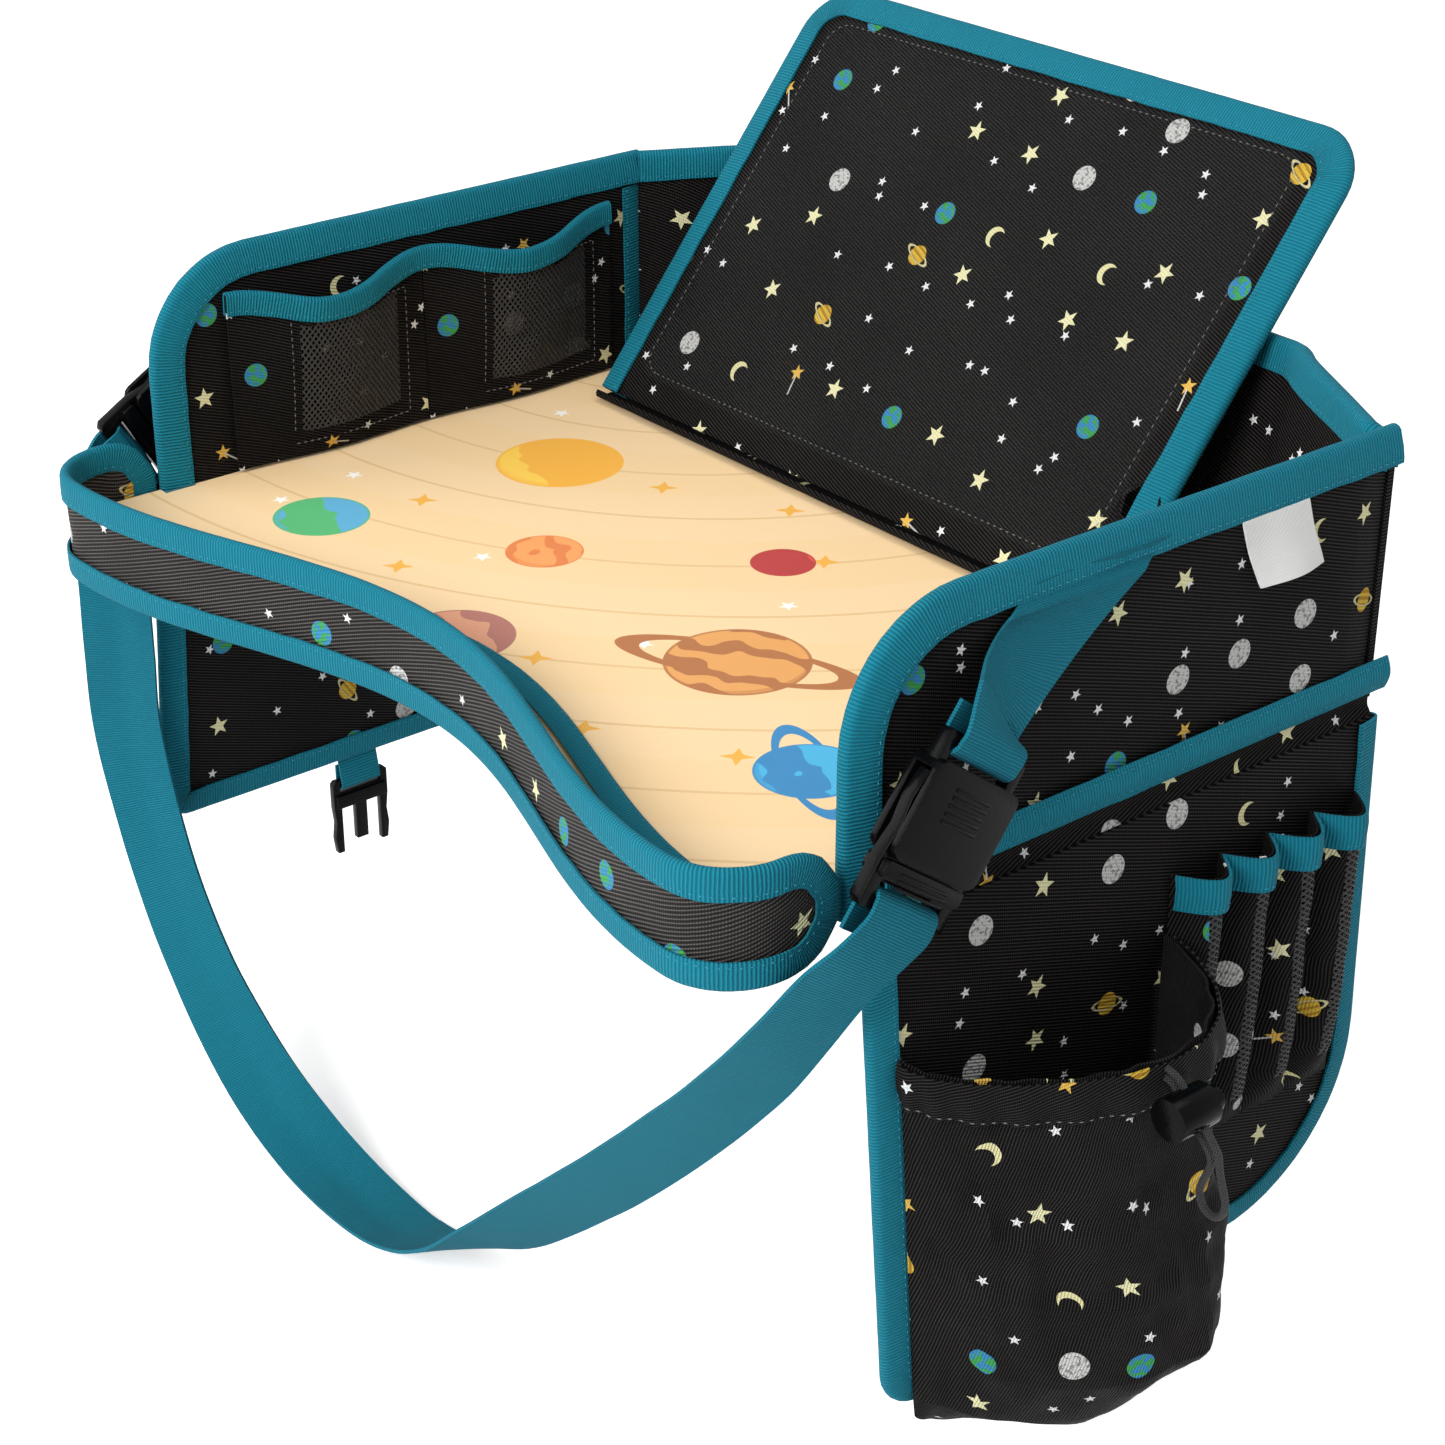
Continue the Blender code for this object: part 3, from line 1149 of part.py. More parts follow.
def make_cord_lock():
    """A spring loaded barrel on the two ends of the pouch's drawstring."""
    centre = lock_place()
    axis = Vector((0, 1, 0))
    placed = frame_matrix(centre - axis * LOCK_HOLE_CENTRE, (1, 0, 0), (0, 0, -1))
    barrel = add_object("cord_lock", drum("cord_lock", LOCK_RADIUS, LOCK_LENGTH, placed), "plastic")
    well = drum("lock_well", LOCK_WELL_RADIUS, LOCK_LENGTH, placed @ level(LOCK_WELL_FLOOR))
    combine(barrel, cutter_of(well, "lock_well"), "DIFFERENCE")
    across = CORD_SPREAD / 2 + CORD_DIAMETER / 2 + GAP
    high = LOCK_HOLE_HEIGHT / 2
    bore = box_outline(-across, across, -high, high, CORD_DIAMETER / 3)
    bore_place = frame_matrix(centre, Vector((1, 0, 1)).normalized(), axis)
    bore_mesh = plate_mesh("lock_bore", [bore], 3 * LOCK_RADIUS, bore_place)
    combine(barrel, cutter_of(bore_mesh, "lock_bore"), "DIFFERENCE")
    foot = LOCK_HOLE_CENTRE - CORD_DIAMETER / 2 - 3 * GAP - BINDING_THICKNESS
    length = LOCK_LENGTH + BUTTON_PROUD - foot
    stem = drum("cord_lock_button", BUTTON_RADIUS, length, placed @ level(foot))
    button = add_object("cord_lock_button", stem, "plastic")
    window = box_outline(-across, across, -CORD_DIAMETER / 2 - GAP,
                         CORD_DIAMETER / 2 + BUTTON_TRAVEL + 2 * GAP)
    window_mesh = plate_mesh("button_window", [window], 3 * LOCK_RADIUS, bore_place)
    combine(button, cutter_of(window_mesh, "button_window"), "DIFFERENCE")
    low = LOCK_WELL_FLOOR + SPRING_WIRE_RADIUS + GAP
    high = foot - SPRING_WIRE_RADIUS - GAP
    count = SPRING_TURNS * SPRING_STEPS
    coil = []
    for i in range(count + 1):
        angle = 2 * math.pi * i / SPRING_STEPS
        coil.append(placed @ Vector((SPRING_RADIUS * math.cos(angle), SPRING_RADIUS * math.sin(angle),
                                     low + (high - low) * i / count)))
    wire("cord_lock_spring", coil, SPRING_WIRE_RADIUS, "spring")
    make_drawcord()


# The drawstring's free loop: distances out of and above its exit, in metres
DRAWCORD_ROUTE = (
    (0.0, 0.0018), (0.00375, 0.00105), (0.00693, -0.00107), (0.0126, -0.0067),
    (0.0222, -0.0162), (0.0243, -0.0194), (0.0250, -0.0232), (0.0264, -0.0280),
    (0.0282, -0.0330), (0.0286, -0.0370), (0.0268, -0.0408), (0.0232, -0.0424),
    (0.0196, -0.0408), (0.0178, -0.0370), (0.0182, -0.0330), (0.0200, -0.0280),
    (0.0214, -0.0232), (0.0209, -0.0208), (0.0196, -0.0188), (0.0100, -0.0093),
    (0.00438, -0.00362), (0.00237, -0.00227), (0.0, -0.0018),
)


def make_drawcord():
    """The drawstring's free loop, from two eyelets in the hem, through the lock and back."""
    leave = cord_exit()
    stations = [(leave + Vector((out, 0, rise)), (0, 0, 1)) for out, rise in DRAWCORD_ROUTE]
    wire("drawcord", [p for p, _ in smooth_route(stations, 2)], CORD_DIAMETER / 2, "net")


def make_label():
    x = HALF_WIDTH + GAP + LABEL_THICKNESS / 2
    half = LABEL_WIDTH / 2
    low = LABEL_TOP_Z - LABEL_HEIGHT
    outline = [(LABEL_Y - half, low), (LABEL_Y - half, LABEL_TOP_Z), (LABEL_Y + half, LABEL_TOP_Z),
               (LABEL_Y + half, low)]
    plate("label_tab", [outline], LABEL_THICKNESS, upright(x), "label")


def hang_moving_pieces():
    left_wing = joint_empty("left_wing_swing", (-WING_X, 0, WING_PIVOT_Z))
    hang_on(left_wing, "left_wing_cover", "left_wing_board", "left_wing_binding")
    right_wing = joint_empty("right_wing_swing", (WING_X, 0, WING_PIVOT_Z))
    hang_on(right_wing, "right_wing_cover", "right_wing_board", "right_wing_binding", "bottle_pouch",
            "pouch_hem", "marker_pocket", "marker_elastic", "drawcord")
    left_clip = joint_empty("left_clip_swing", left_clip_pivot())
    hang_on(left_clip, "left_clip_tab", "left_clip_plug")
    seam = (WING_X - WING_THICKNESS / 2, CLIP_Y, RIGHT_CLIP_TOP_Z + RIGHT_CLIP_LEAD)
    right_clip = joint_empty("right_clip_swing", seam)
    hang_on(right_clip, "right_clip_tab", "right_clip_socket")
    lock = joint_empty("cord_lock_slide", lock_place())
    hang_on(lock, "cord_lock", "cord_lock_spring")
    button = joint_empty("cord_lock_button_press", lock_place())
    hang_on(button, "cord_lock_button")


def main():
    make_deck()
    make_rim()
    make_side_wall(1, "right_wall")
    make_side_wall(-1, "left_wall")
    make_corner_binding()
    make_back_wall()
    make_piping(1, "right_piping", REAR_Y + PIPING_OVERHANG)
    make_piping(-1, "left_piping", REAR_Y - BINDING_LEG - GAP)
    make_seam(1, "right_wing_seam")
    make_seam(-1, "left_wing_seam")
    make_stand()
    make_hinge_strip()
    make_wing(1, "right_wing")
    make_wing(-1, "left_wing")
    make_pouch()
    make_marker_pocket()
    make_pockets()
    make_straps()
    make_clips()
    make_cord_lock()
    make_label()
    hang_moving_pieces()
    print("tray table:", len(PARTS.objects), "parts")


main()
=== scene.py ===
import math

import bmesh
import bpy
from mathutils import Matrix, Vector, noise


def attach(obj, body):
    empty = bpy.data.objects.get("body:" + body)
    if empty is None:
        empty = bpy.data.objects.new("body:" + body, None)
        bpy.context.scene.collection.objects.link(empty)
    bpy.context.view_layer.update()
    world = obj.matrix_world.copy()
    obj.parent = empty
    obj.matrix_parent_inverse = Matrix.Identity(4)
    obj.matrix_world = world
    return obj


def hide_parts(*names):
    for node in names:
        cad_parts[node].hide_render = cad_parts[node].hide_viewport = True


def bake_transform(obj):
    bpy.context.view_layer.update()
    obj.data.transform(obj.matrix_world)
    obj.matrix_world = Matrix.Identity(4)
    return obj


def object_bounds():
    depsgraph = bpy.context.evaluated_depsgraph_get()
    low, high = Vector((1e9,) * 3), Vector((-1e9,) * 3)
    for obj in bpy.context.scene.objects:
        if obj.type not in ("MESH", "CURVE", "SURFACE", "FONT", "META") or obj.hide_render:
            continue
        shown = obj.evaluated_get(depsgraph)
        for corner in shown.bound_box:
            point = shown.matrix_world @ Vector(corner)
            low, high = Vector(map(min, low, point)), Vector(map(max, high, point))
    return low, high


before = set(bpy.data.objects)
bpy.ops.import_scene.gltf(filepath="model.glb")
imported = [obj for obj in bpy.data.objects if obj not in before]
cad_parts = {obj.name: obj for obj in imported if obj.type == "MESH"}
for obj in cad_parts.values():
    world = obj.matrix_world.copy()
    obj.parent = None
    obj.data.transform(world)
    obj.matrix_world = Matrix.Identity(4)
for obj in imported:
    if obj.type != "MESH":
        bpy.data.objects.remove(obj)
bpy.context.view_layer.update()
bpy.ops.object.select_all(action="DESELECT")

# Sizes that several pieces share, the same as in the CAD model, in metres
tray = {
    "halfWidth": 0.210, "rearY": 0.146, "lobeY": -0.146, "wallFront": -0.094, "wallTop": 0.100,
    "wallThickness": 0.008, "wallRadius": 0.045, "wallInner": 0.202, "gap": 0.0003,
    "deckTop": 0.0083, "tape": 0.0010, "proud": 0.0013, "lobeRadius": 0.027, "bellyCut": 0.040,
}
wing = {
    "x": 0.2132, "top": -0.0040, "rearY": 0.146, "rearSlant": 0.007, "leg": 0.0100, "taper": 0.0009,
    # depth, and the radii of the front and rear corners, of the right wing and the left one
    "lower": {1: (0.197, 0.016, 0.064), -1: (0.143, 0.010, 0.016)},
    "form": {"thickness": 0.0044, "cell": 0.009, "crown": 0.0004, "ripple": 0.0009, "pinch": 0.0009,
             "scale": 18},
}
rightward, rearward, upward = Vector((1, 0, 0)), Vector((0, 1, 0)), Vector((0, 0, 1))


def painted(name, mesh, look, thickness=0.0):
    # look: the name of its look, or two names with a space between
    made = bpy.data.objects.new(name, mesh)
    bpy.context.scene.collection.objects.link(made)
    mesh.materials.clear()
    for each in look.split():
        mesh.materials.append(looks[each])
    if thickness:
        thicken(made, thickness)
    return made


def settle(made, body, nodes=()):
    # A finished piece is carried by its body and stands for its CAD nodes
    if body:
        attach(made, body)
    if nodes:
        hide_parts(*nodes)
    return made


def pieceOf(name, mesh, look, body, nodes=(), thickness=0.0):
    return settle(painted(name, mesh, look, thickness), body, nodes)


def applyAll(made):
    bpy.ops.object.select_all(action="DESELECT")
    made.select_set(True)
    bpy.context.view_layer.objects.active = made
    for change in list(made.modifiers):
        bpy.ops.object.modifier_apply(modifier=change.name)
    made.select_set(False)


def tangentsOf(points):
    befores, afters = points[:1] + points[:-1], points[1:] + points[-1:]
    return [(after - before).normalized() for before, after in zip(befores, afters)]


def lengthOf(points):
    return sum((b - a).length for a, b in zip(points, points[1:]))


def spread(start, end, count):
    return [start + (end - start) * i / count for i in range(count + 1)]


def valueAt(stops, values, place):
    # The value at a place between stops
    for low, high, a, b in zip(stops, stops[1:], values, values[1:]):
        if place <= high:
            break
    return a + (b - a) * (place - low) / (high - low)


def evenly(points, step):
    # The same line with its points a step apart
    lengths = [0.0]
    for a, b in zip(points, points[1:]):
        lengths.append(lengths[-1] + (b - a).length)
    count = max(2, round(lengths[-1] / step))
    found = []
    k = 0
    for i in range(count + 1):
        place = lengths[-1] * i / count
        while k < len(lengths) - 2 and lengths[k + 1] < place:
            k += 1
        share = (place - lengths[k]) / max(lengths[k + 1] - lengths[k], 1e-9)
        found.append(points[k].lerp(points[k + 1], min(share, 1)))
    return found


def roundedOutline(corners, steps=9):
    points = []
    count = len(corners)
    for i, (x, y, radius) in enumerate(corners):
        here = Vector((x, y))
        if not radius:
            points.append(here)
            continue
        before = (Vector(corners[i - 1][:2]) - here).normalized()
        after = (Vector(corners[(i + 1) % count][:2]) - here).normalized()
        half = before.angle(after) / 2
        middle = here + (before + after).normalized() * radius / math.sin(half)
        start = here + before * radius / math.tan(half) - middle
        end = here + after * radius / math.tan(half) - middle
        turn = start.angle_signed(end)
        for step in range(steps + 1):
            points.append(middle + Matrix.Rotation(-turn * step / steps, 2) @ start)
    return points


def frameAt(origin, xAxis, yAxis):
    xAxis, yAxis = Vector(xAxis), Vector(yAxis)
    axes = Matrix((xAxis, yAxis, xAxis.cross(yAxis))).transposed().to_4x4()
    return Matrix.Translation(origin) @ axes


def upright(x):
    return frameAt((x, 0, 0), rearward, upward)


def rowMesh(name, rows, loop=False):
    # A cloth surface through rows of points, with its UVs in metres along the cloth
    sheet = bmesh.new()
    layer = sheet.loops.layers.uv.new("cloth")
    ring = rows + [rows[0]] if loop else rows
    middle = len(rows[0]) // 2
    along = [0.0]
    for a, b in zip(ring, ring[1:]):
        along.append(along[-1] + (b[middle] - a[middle]).length)
    across = []
    for row in ring:
        places = [0.0]
        for a, b in zip(row, row[1:]):
            places.append(places[-1] + (b - a).length)
        across.append(places)
    made = [[sheet.verts.new(point) for point in row] for row in rows]
    for i in range(len(ring) - 1):
        low, high = made[i], made[(i + 1) % len(rows)]
        for k in range(len(low) - 1):
            face = sheet.faces.new((low[k], low[k + 1], high[k + 1], high[k]))
            face.smooth = True
            corners = ((i, k), (i, k + 1), (i + 1, k + 1), (i + 1, k))
            for corner, (r, c) in zip(face.loops, corners):
                corner[layer].uv = (along[r], across[r][c])
    mesh = bpy.data.meshes.new(name)
    sheet.to_mesh(mesh)
    sheet.free()
    return mesh


def reworked(mesh, *changes):
    # A mesh taken through bmesh, with each change made to it in turn
    work = bmesh.new()
    work.from_mesh(mesh)
    for change in changes:
        change(work)
    work.to_mesh(mesh)
    work.free()


def faceOutwards(work):
    bmesh.ops.recalc_face_normals(work, faces=work.faces)


def thicken(made, thickness):
    solid = made.modifiers.new("thickness", "SOLIDIFY")
    solid.thickness = thickness
    solid.offset = 0
    applyAll(made)
    reworked(made.data, faceOutwards)
    made.data.set_sharp_from_angle(angle=math.radians(55))


def clothPiece(name, rows, thickness, look, body, nodes=(), loop=False):
    return pieceOf(name, rowMesh(name, rows, loop), look, body, nodes, thickness)


def ruffle(point, scale, amount):
    return amount * noise.noise(Vector(point) * scale)


def edgeReach(x, y, outline, closed=True):
    # How far a point of a panel is from the panel's edge, or from all but its foot
    here = Vector((x, y))
    nearest = 1.0
    for a, b in zip(outline, outline[1:] + outline[:1] if closed else outline[1:]):
        side = b - a
        share = min(max((here - a).dot(side) / max(side.length_squared, 1e-12), 0), 1)
        nearest = min(nearest, (here - a - side * share).length)
    return nearest


# How far in from a panel's edge its crown rises and its pinch reaches, and its usual ripple scale
panel = {"crownReach": 0.02, "pinchReach": 0.0105, "scale": 22}


def panelPiece(name, outline, place, form, look, body, nodes, holes=()):
    # form: thickness, cell of its mesh, crown in its middle, ripple of its faces and the ripple's
    # scale, pinch at its edge, and whether its foot is left open, without a pinch
    sheet = bmesh.new()
    layer = sheet.loops.layers.uv.new("cloth")
    outline = [Vector(p[:2]) for p in outline]
    sheet.faces.new([sheet.verts.new((p[0], p[1], 0)) for p in outline])
    low = [min(p[k] for p in outline) for k in (0, 1)]
    high = [max(p[k] for p in outline) for k in (0, 1)]
    for k, normal in ((0, (1, 0, 0)), (1, (0, 1, 0))):
        count = int((high[k] - low[k]) / form["cell"])
        for i in range(1, count + 1):
            point = [0, 0, 0]
            point[k] = low[k] + (high[k] - low[k]) * i / (count + 1)
            everything = sheet.verts[:] + sheet.edges[:] + sheet.faces[:]
            bmesh.ops.bisect_plane(sheet, geom=everything, dist=1e-6, plane_co=point,
                                   plane_no=normal)
    for hole in holes:
        middle = Vector((hole[0], hole[1], 0))
        inside = [f for f in sheet.faces if (f.calc_center_median() - middle).length < hole[2]]
        bmesh.ops.delete(sheet, geom=inside, context="FACES")
        for corner in sheet.verts:
            if corner.is_boundary and (corner.co - middle).length < hole[2] + form["cell"]:
                corner.co = middle + (corner.co - middle).normalized() * hole[2]
    for face in sheet.faces:
        face.smooth = True
        for corner in face.loops:
            corner[layer].uv = corner.vert.co[:2]
    mesh = bpy.data.meshes.new(name)
    sheet.to_mesh(mesh)
    sheet.free()
    made = painted(name, mesh, look, form["thickness"])
    scale = form.get("scale", panel["scale"])
    for corner in made.data.vertices:
        x, y, z = corner.co
        side = 1 if z > 0 else -1
        reach = edgeReach(x, y, outline)
        inner = min(reach / panel["crownReach"], 1)
        inner = inner * inner * (3 - 2 * inner)
        if form.get("openFoot"):
            reach = edgeReach(x, y, outline, False)
        pinched = max(0, 1 - reach / panel["pinchReach"])
        lift = form["crown"] * inner - form.get("pinch", 0) * pinched
        lift += inner * ruffle((x, y, side * 0.3), scale, form["ripple"])
        lift += inner * ruffle((y, x, side * 0.7), scale * 2.7, form["ripple"] / 4)
        corner.co.z = z + side * lift
    made.data.transform(place)
    settle(made, body, nodes)


stitches = {}


def stitchLine(body, points, normals, pitch=0.0034, kind="teal"):
    # Places for single stitches along a sewn line, with a normal for each point or one for all
    laid = stitches.setdefault((body, kind), [])
    if isinstance(normals, Vector):
        normals = [normals] * len(points)
    travelled = pitch / 2
    for a, b, normal in zip(points, points[1:], normals):
        span = (b - a).length
        while travelled < span:
            laid.append((a.lerp(b, travelled / span), (b - a).normalized(), normal))
            travelled += pitch
        travelled -= span


grain = {"half": 0.00115, "wide": 0.00026, "high": 0.00024, "sunk": 0.0001}


def sewStitches():
    # One stitch is a slim grain of thread, repeated along every sewn line of a body
    for (body, kind), laid in stitches.items():
        threads = bmesh.new()
        for place, along, normal in laid:
            side = along.cross(normal).normalized()
            tips = [place + along * grain["half"] * s - normal * grain["sunk"] for s in (-1, 1)]
            waist = [place + side * grain["wide"], place + normal * grain["high"],
                     place - side * grain["wide"], place - normal * grain["high"]]
            ends = [threads.verts.new(p) for p in tips]
            belt = [threads.verts.new(p) for p in waist]
            for i in range(4):
                threads.faces.new((belt[i], belt[(i + 1) % 4], ends[1]))
                threads.faces.new((belt[(i + 1) % 4], belt[i], ends[0]))
        bmesh.ops.recalc_face_normals(threads, faces=threads.faces)
        for face in threads.faces:
            face.smooth = True
        mesh = bpy.data.meshes.new(body + "_stitches_" + kind)
        threads.to_mesh(mesh)
        threads.free()
        pieceOf(mesh.name, mesh, kind, body)


tape = {
    "thickness": 0.0009, "step": 0.0035, "turn": 0.0024, "sewnIn": 0.0017, "stitchOut": 0.00012,
    # scale and height of its small puckers and its longer waves
    "pucker": (260, 0.00018), "wave": (90, 0.00035),
}


def tapeSection(core, leg, taper):
    # The folded tape's section: (off the middle plane, outwards). The sewn edge is pinched thinner
    side = core + tape["thickness"] / 2
    top = side - taper
    back = tray["gap"] + tape["thickness"] / 2
    radius = min(top, tape["turn"])
    section = [(side, -leg), (side - taper * 0.1 + 0.0001, -leg * 0.82),
               (side - taper * 0.45 + 0.00015, -leg * 0.5)]
    for angle in (0, 30, 60, 90):
        turn = math.radians(angle)
        section.append((top - radius + radius * math.cos(turn), back - radius + radius * math.sin(turn)))
    return section + [(-a, b) for a, b in reversed(section[:-1] if top <= radius else section)]


def foldedTape(name, edge, outward, normals, core, leg, body, nodes, loop=False, taper=0.0):
    rows = []
    section = tapeSection(core, leg, taper)
    for point, out, normal in zip(edge, outward, normals):
        row = []
        for off, away in section:
            legShare = min(max(-away / leg, 0), 1)
            pucker = ruffle((point.x, point.y, point.z + off), *tape["pucker"]) * legShare
            wave = ruffle((point.x, point.y, point.z), *tape["wave"]) * (0.3 + legShare)
            side = 1 if off > 0 else -1
            row.append(point + normal * (off + side * pucker) + out * (away + wave))
        rows.append(row)
    clothPiece(name, rows, tape["thickness"], "tape", body, nodes, loop)
    for side in (1, -1):
        lift, inset = core + tape["thickness"] + tape["stitchOut"], leg - tape["sewnIn"]
        line = [p + n * side * lift - o * inset for p, o, n in zip(edge, outward, normals)]
        if loop:
            line.append(line[0])
        stitchLine(body, line, [n * side for n in normals])


def outlineTape(name, outline, x, core, leg, body, nodes, taper):
    # A tape along an open outline in Y and Z, on a panel that faces along X
    edge = evenly([Vector((x, p[0], p[1])) for p in outline], tape["step"])
    outward = [rightward.cross(t) for t in tangentsOf(edge)]
    middle = sum((Vector((0, p[1], p[2])) for p in edge), Vector()) / len(edge)
    first = Vector((0, edge[0][1], edge[0][2])) - middle
    if outward[0].dot(first) < 0:
        outward = [-o for o in outward]
    foldedTape(name, edge, outward, [rightward] * len(edge), core, leg, body, nodes, taper=taper)


# The camera stands where the photograph was taken from
camera = {"place": (0.795, -0.616, 0.474), "azimuth": 51.05, "elevation": 27.33, "lens": 74.74}


def addCamera():
    data = bpy.data.cameras.new("camera")
    data.lens = camera["lens"]
    data.sensor_width = 36
    data.clip_start = 0.02
    data.clip_end = 40
    made = bpy.data.objects.new("camera", data)
    made.location = camera["place"]
    made.rotation_euler = (math.radians(90 - camera["elevation"]), 0, math.radians(camera["azimuth"]))
    bpy.context.scene.collection.objects.link(made)
    bpy.context.scene.camera = made


# The pouch's form, which the hem and the drawcord follow
pouch = {
    "frontInset": 0.0095, "rearY": 0.0421, "baseX": 0.2173, "depth": 0.040, "skew": 0.5,
    "sag": 0.009, "mouth": -0.052, "bottom": -0.201, "thickness": 0.0010, "rearLift": 0.016, "tip": 0.006,
    "drops": (0.0, 0.3, 0.6, 0.8, 0.93, 1.0), "bulges": (1.0, 1.12, 1.3, 1.32, 1.0, 0.1),
    # long creases: height, where they start round the pouch, how they drift as they drop, half width
    "creases": ((0.0024, -0.75, -0.1, 0.07), (0.0018, 0.55, 0.5, 0.12)),
    "stitch": 0.0135, "hem": 0.015, "hemOut": 0.0019, "hemRoll": 0.0013, "hemThickness": 0.0010,
}


def wingFront(side, z):
    if side > 0:
        return -0.091 + 0.016 * -z / 0.197
    return -0.094 - 0.009 * -z / 0.143


def pouchPoint(turn, z, grow=0.0):
    front = wingFront(1, z) + pouch["frontInset"]
    middle = (front + pouch["rearY"]) / 2
    half = (pouch["rearY"] - front) / 2 + grow
    drop = min(max((pouch["mouth"] - z) / (pouch["mouth"] - pouch["bottom"]), 0), 1)
    bulge = valueAt(pouch["drops"], pouch["bulges"], drop)
    depth = pouch["depth"] * bulge * (1 + pouch["skew"] * math.sin(turn)) + grow
    return Vector((pouch["baseX"] + depth * math.cos(turn), middle + half * math.sin(turn),
                   z - pouch["sag"] * math.cos(turn)))


# The drawstring's free loop: distances out of and above the place where it leaves the hem
drawcord = {
    "diameter": 0.0026, "angle": 12, "top": -0.0546, "out": 0.0033,
    "route": (
        (0.0, 0.0018), (0.00375, 0.00105), (0.00693, -0.00107), (0.0126, -0.0067),
        (0.0222, -0.0162), (0.0243, -0.0194), (0.0250, -0.0232), (0.0264, -0.0280),
        (0.0282, -0.0330), (0.0286, -0.0370), (0.0268, -0.0408), (0.0232, -0.0424),
        (0.0196, -0.0408), (0.0178, -0.0370), (0.0182, -0.0330), (0.0200, -0.0280),
        (0.0214, -0.0232), (0.0209, -0.0208), (0.0196, -0.0188), (0.0100, -0.0093),
        (0.00438, -0.00362), (0.00237, -0.00227), (0.0, -0.0018),
    ),
}


def smoothRoute(stations, perSpan):
    # A smooth curve through (point, width direction) stations
    found = []
    count = len(stations)
    for i in range(count - 1):
        around = [stations[max(i - 1, 0)], stations[i], stations[i + 1], stations[min(i + 2, count - 1)]]
        for step in range(perSpan):
            t = step / perSpan
            pair = []
            for k in (0, 1):
                p0, p1, p2, p3 = (Vector(s[k]) for s in around)
                pair.append((p1 * 2 + (p2 - p0) * t + (p0 * 2 - p1 * 5 + p2 * 4 - p3) * t * t
                             + (p1 * 3 - p0 - p2 * 3 + p3) * t ** 3) / 2)
            stretch = Vector(around[1][1]).length * (1 - t) + Vector(around[2][1]).length * t
            found.append((pair[0], pair[1].normalized() * stretch))
    found.append((Vector(stations[-1][0]), Vector(stations[-1][1])))
    return found


def tubeMesh(name, points, radius, sides=12):
    # A round cord with its UVs in metres: along it, and round it
    rows = []
    for point, along in zip(points, tangentsOf(points)):
        up = along.cross(rearward).normalized()
        rows.append([point + (rearward * math.cos(turn) + up * math.sin(turn)) * radius
                     for turn in spread(0, 2 * math.pi, sides)])
    mesh = rowMesh(name, rows)

    def closeEnds(tube):
        bmesh.ops.remove_doubles(tube, verts=tube.verts, dist=1e-6)
        rims = [e for e in tube.edges if e.is_boundary]
        bmesh.ops.holes_fill(tube, edges=rims, sides=sides + 1)

    reworked(mesh, closeEnds, faceOutwards)
    return mesh


def addDrawcord():
    leave = pouchPoint(math.radians(drawcord["angle"]), drawcord["top"]) + rightward * drawcord["out"]
    stations = [(leave + Vector((out, 0, rise)), (0, 0, 1)) for out, rise in drawcord["route"]]
    points = [p for p, _ in smoothRoute(stations, 4)]
    mesh = tubeMesh("drawcord_loop", points, drawcord["diameter"] / 2)
    made = pieceOf("drawcord_loop", mesh, "cord", "right_wing", ["drawcord"])
    print("drawcord:", round(lengthOf(points) * 1000), "mm")


# Shader helpers. They build in the node tree that newGroup or newLook opened last
building = {}


def addNode(kind):
    return building["tree"].nodes.new("ShaderNode" + kind)


def feed(socket, value):
    if isinstance(value, bpy.types.NodeSocket):
        building["tree"].links.new(value, socket)
    else:
        socket.default_value = value


def maths(kind, *values):
    node = addNode("Math")
    node.operation = kind
    for socket, value in zip(node.inputs, values):
        feed(socket, value)
    return node.outputs[0]


def mathsOf(kind):
    def made(*values):
        return maths(kind, *values)
    return made


times, plus, minus, over, scaled = map(mathsOf, ("MULTIPLY", "ADD", "SUBTRACT", "DIVIDE", "MULTIPLY_ADD"))
below, above, larger, smaller = map(mathsOf, ("LESS_THAN", "GREATER_THAN", "MAXIMUM", "MINIMUM"))
sine, sizeOf, fraction = map(mathsOf, ("SINE", "ABSOLUTE", "FRACT"))


def vectorMaths(kind, a, b=(0, 0, 0)):
    node = addNode("VectorMath")
    node.operation = kind
    feed(node.inputs[0], a)
    feed(node.inputs["Scale"] if kind == "SCALE" else node.inputs[1], b)
    return node.outputs["Value" if kind == "LENGTH" else "Vector"]


def mixed(share, a, b):
    node = addNode("Mix")
    node.data_type = "RGBA"
    for place, value in ((0, share), (6, a), (7, b)):
        feed(node.inputs[place], (*value, 1) if isinstance(value, tuple) and len(value) == 3 else value)
    return node.outputs[2]


def split(vector):
    node = addNode("SeparateXYZ")
    feed(node.inputs[0], vector)
    return node.outputs[0], node.outputs[1]


def noiseOf(vector, scale, detail=2.0):
    node = addNode("TexNoise")
    feed(node.inputs["Vector"], vector)
    node.inputs["Scale"].default_value = scale
    node.inputs["Detail"].default_value = detail
    return node.outputs[0]


def turned(vector, angle):
    node = addNode("VectorRotate")
    node.rotation_type = "Z_AXIS"
    feed(node.inputs["Vector"], vector)
    feed(node.inputs["Angle"], angle)
    return node.outputs[0]


def ridges(across, pitch, turns=2 * math.pi):
    # Even ridges a pitch apart, from 0 to 1
    return scaled(sine(times(over(across, pitch), turns)), 0.5, 0.5)


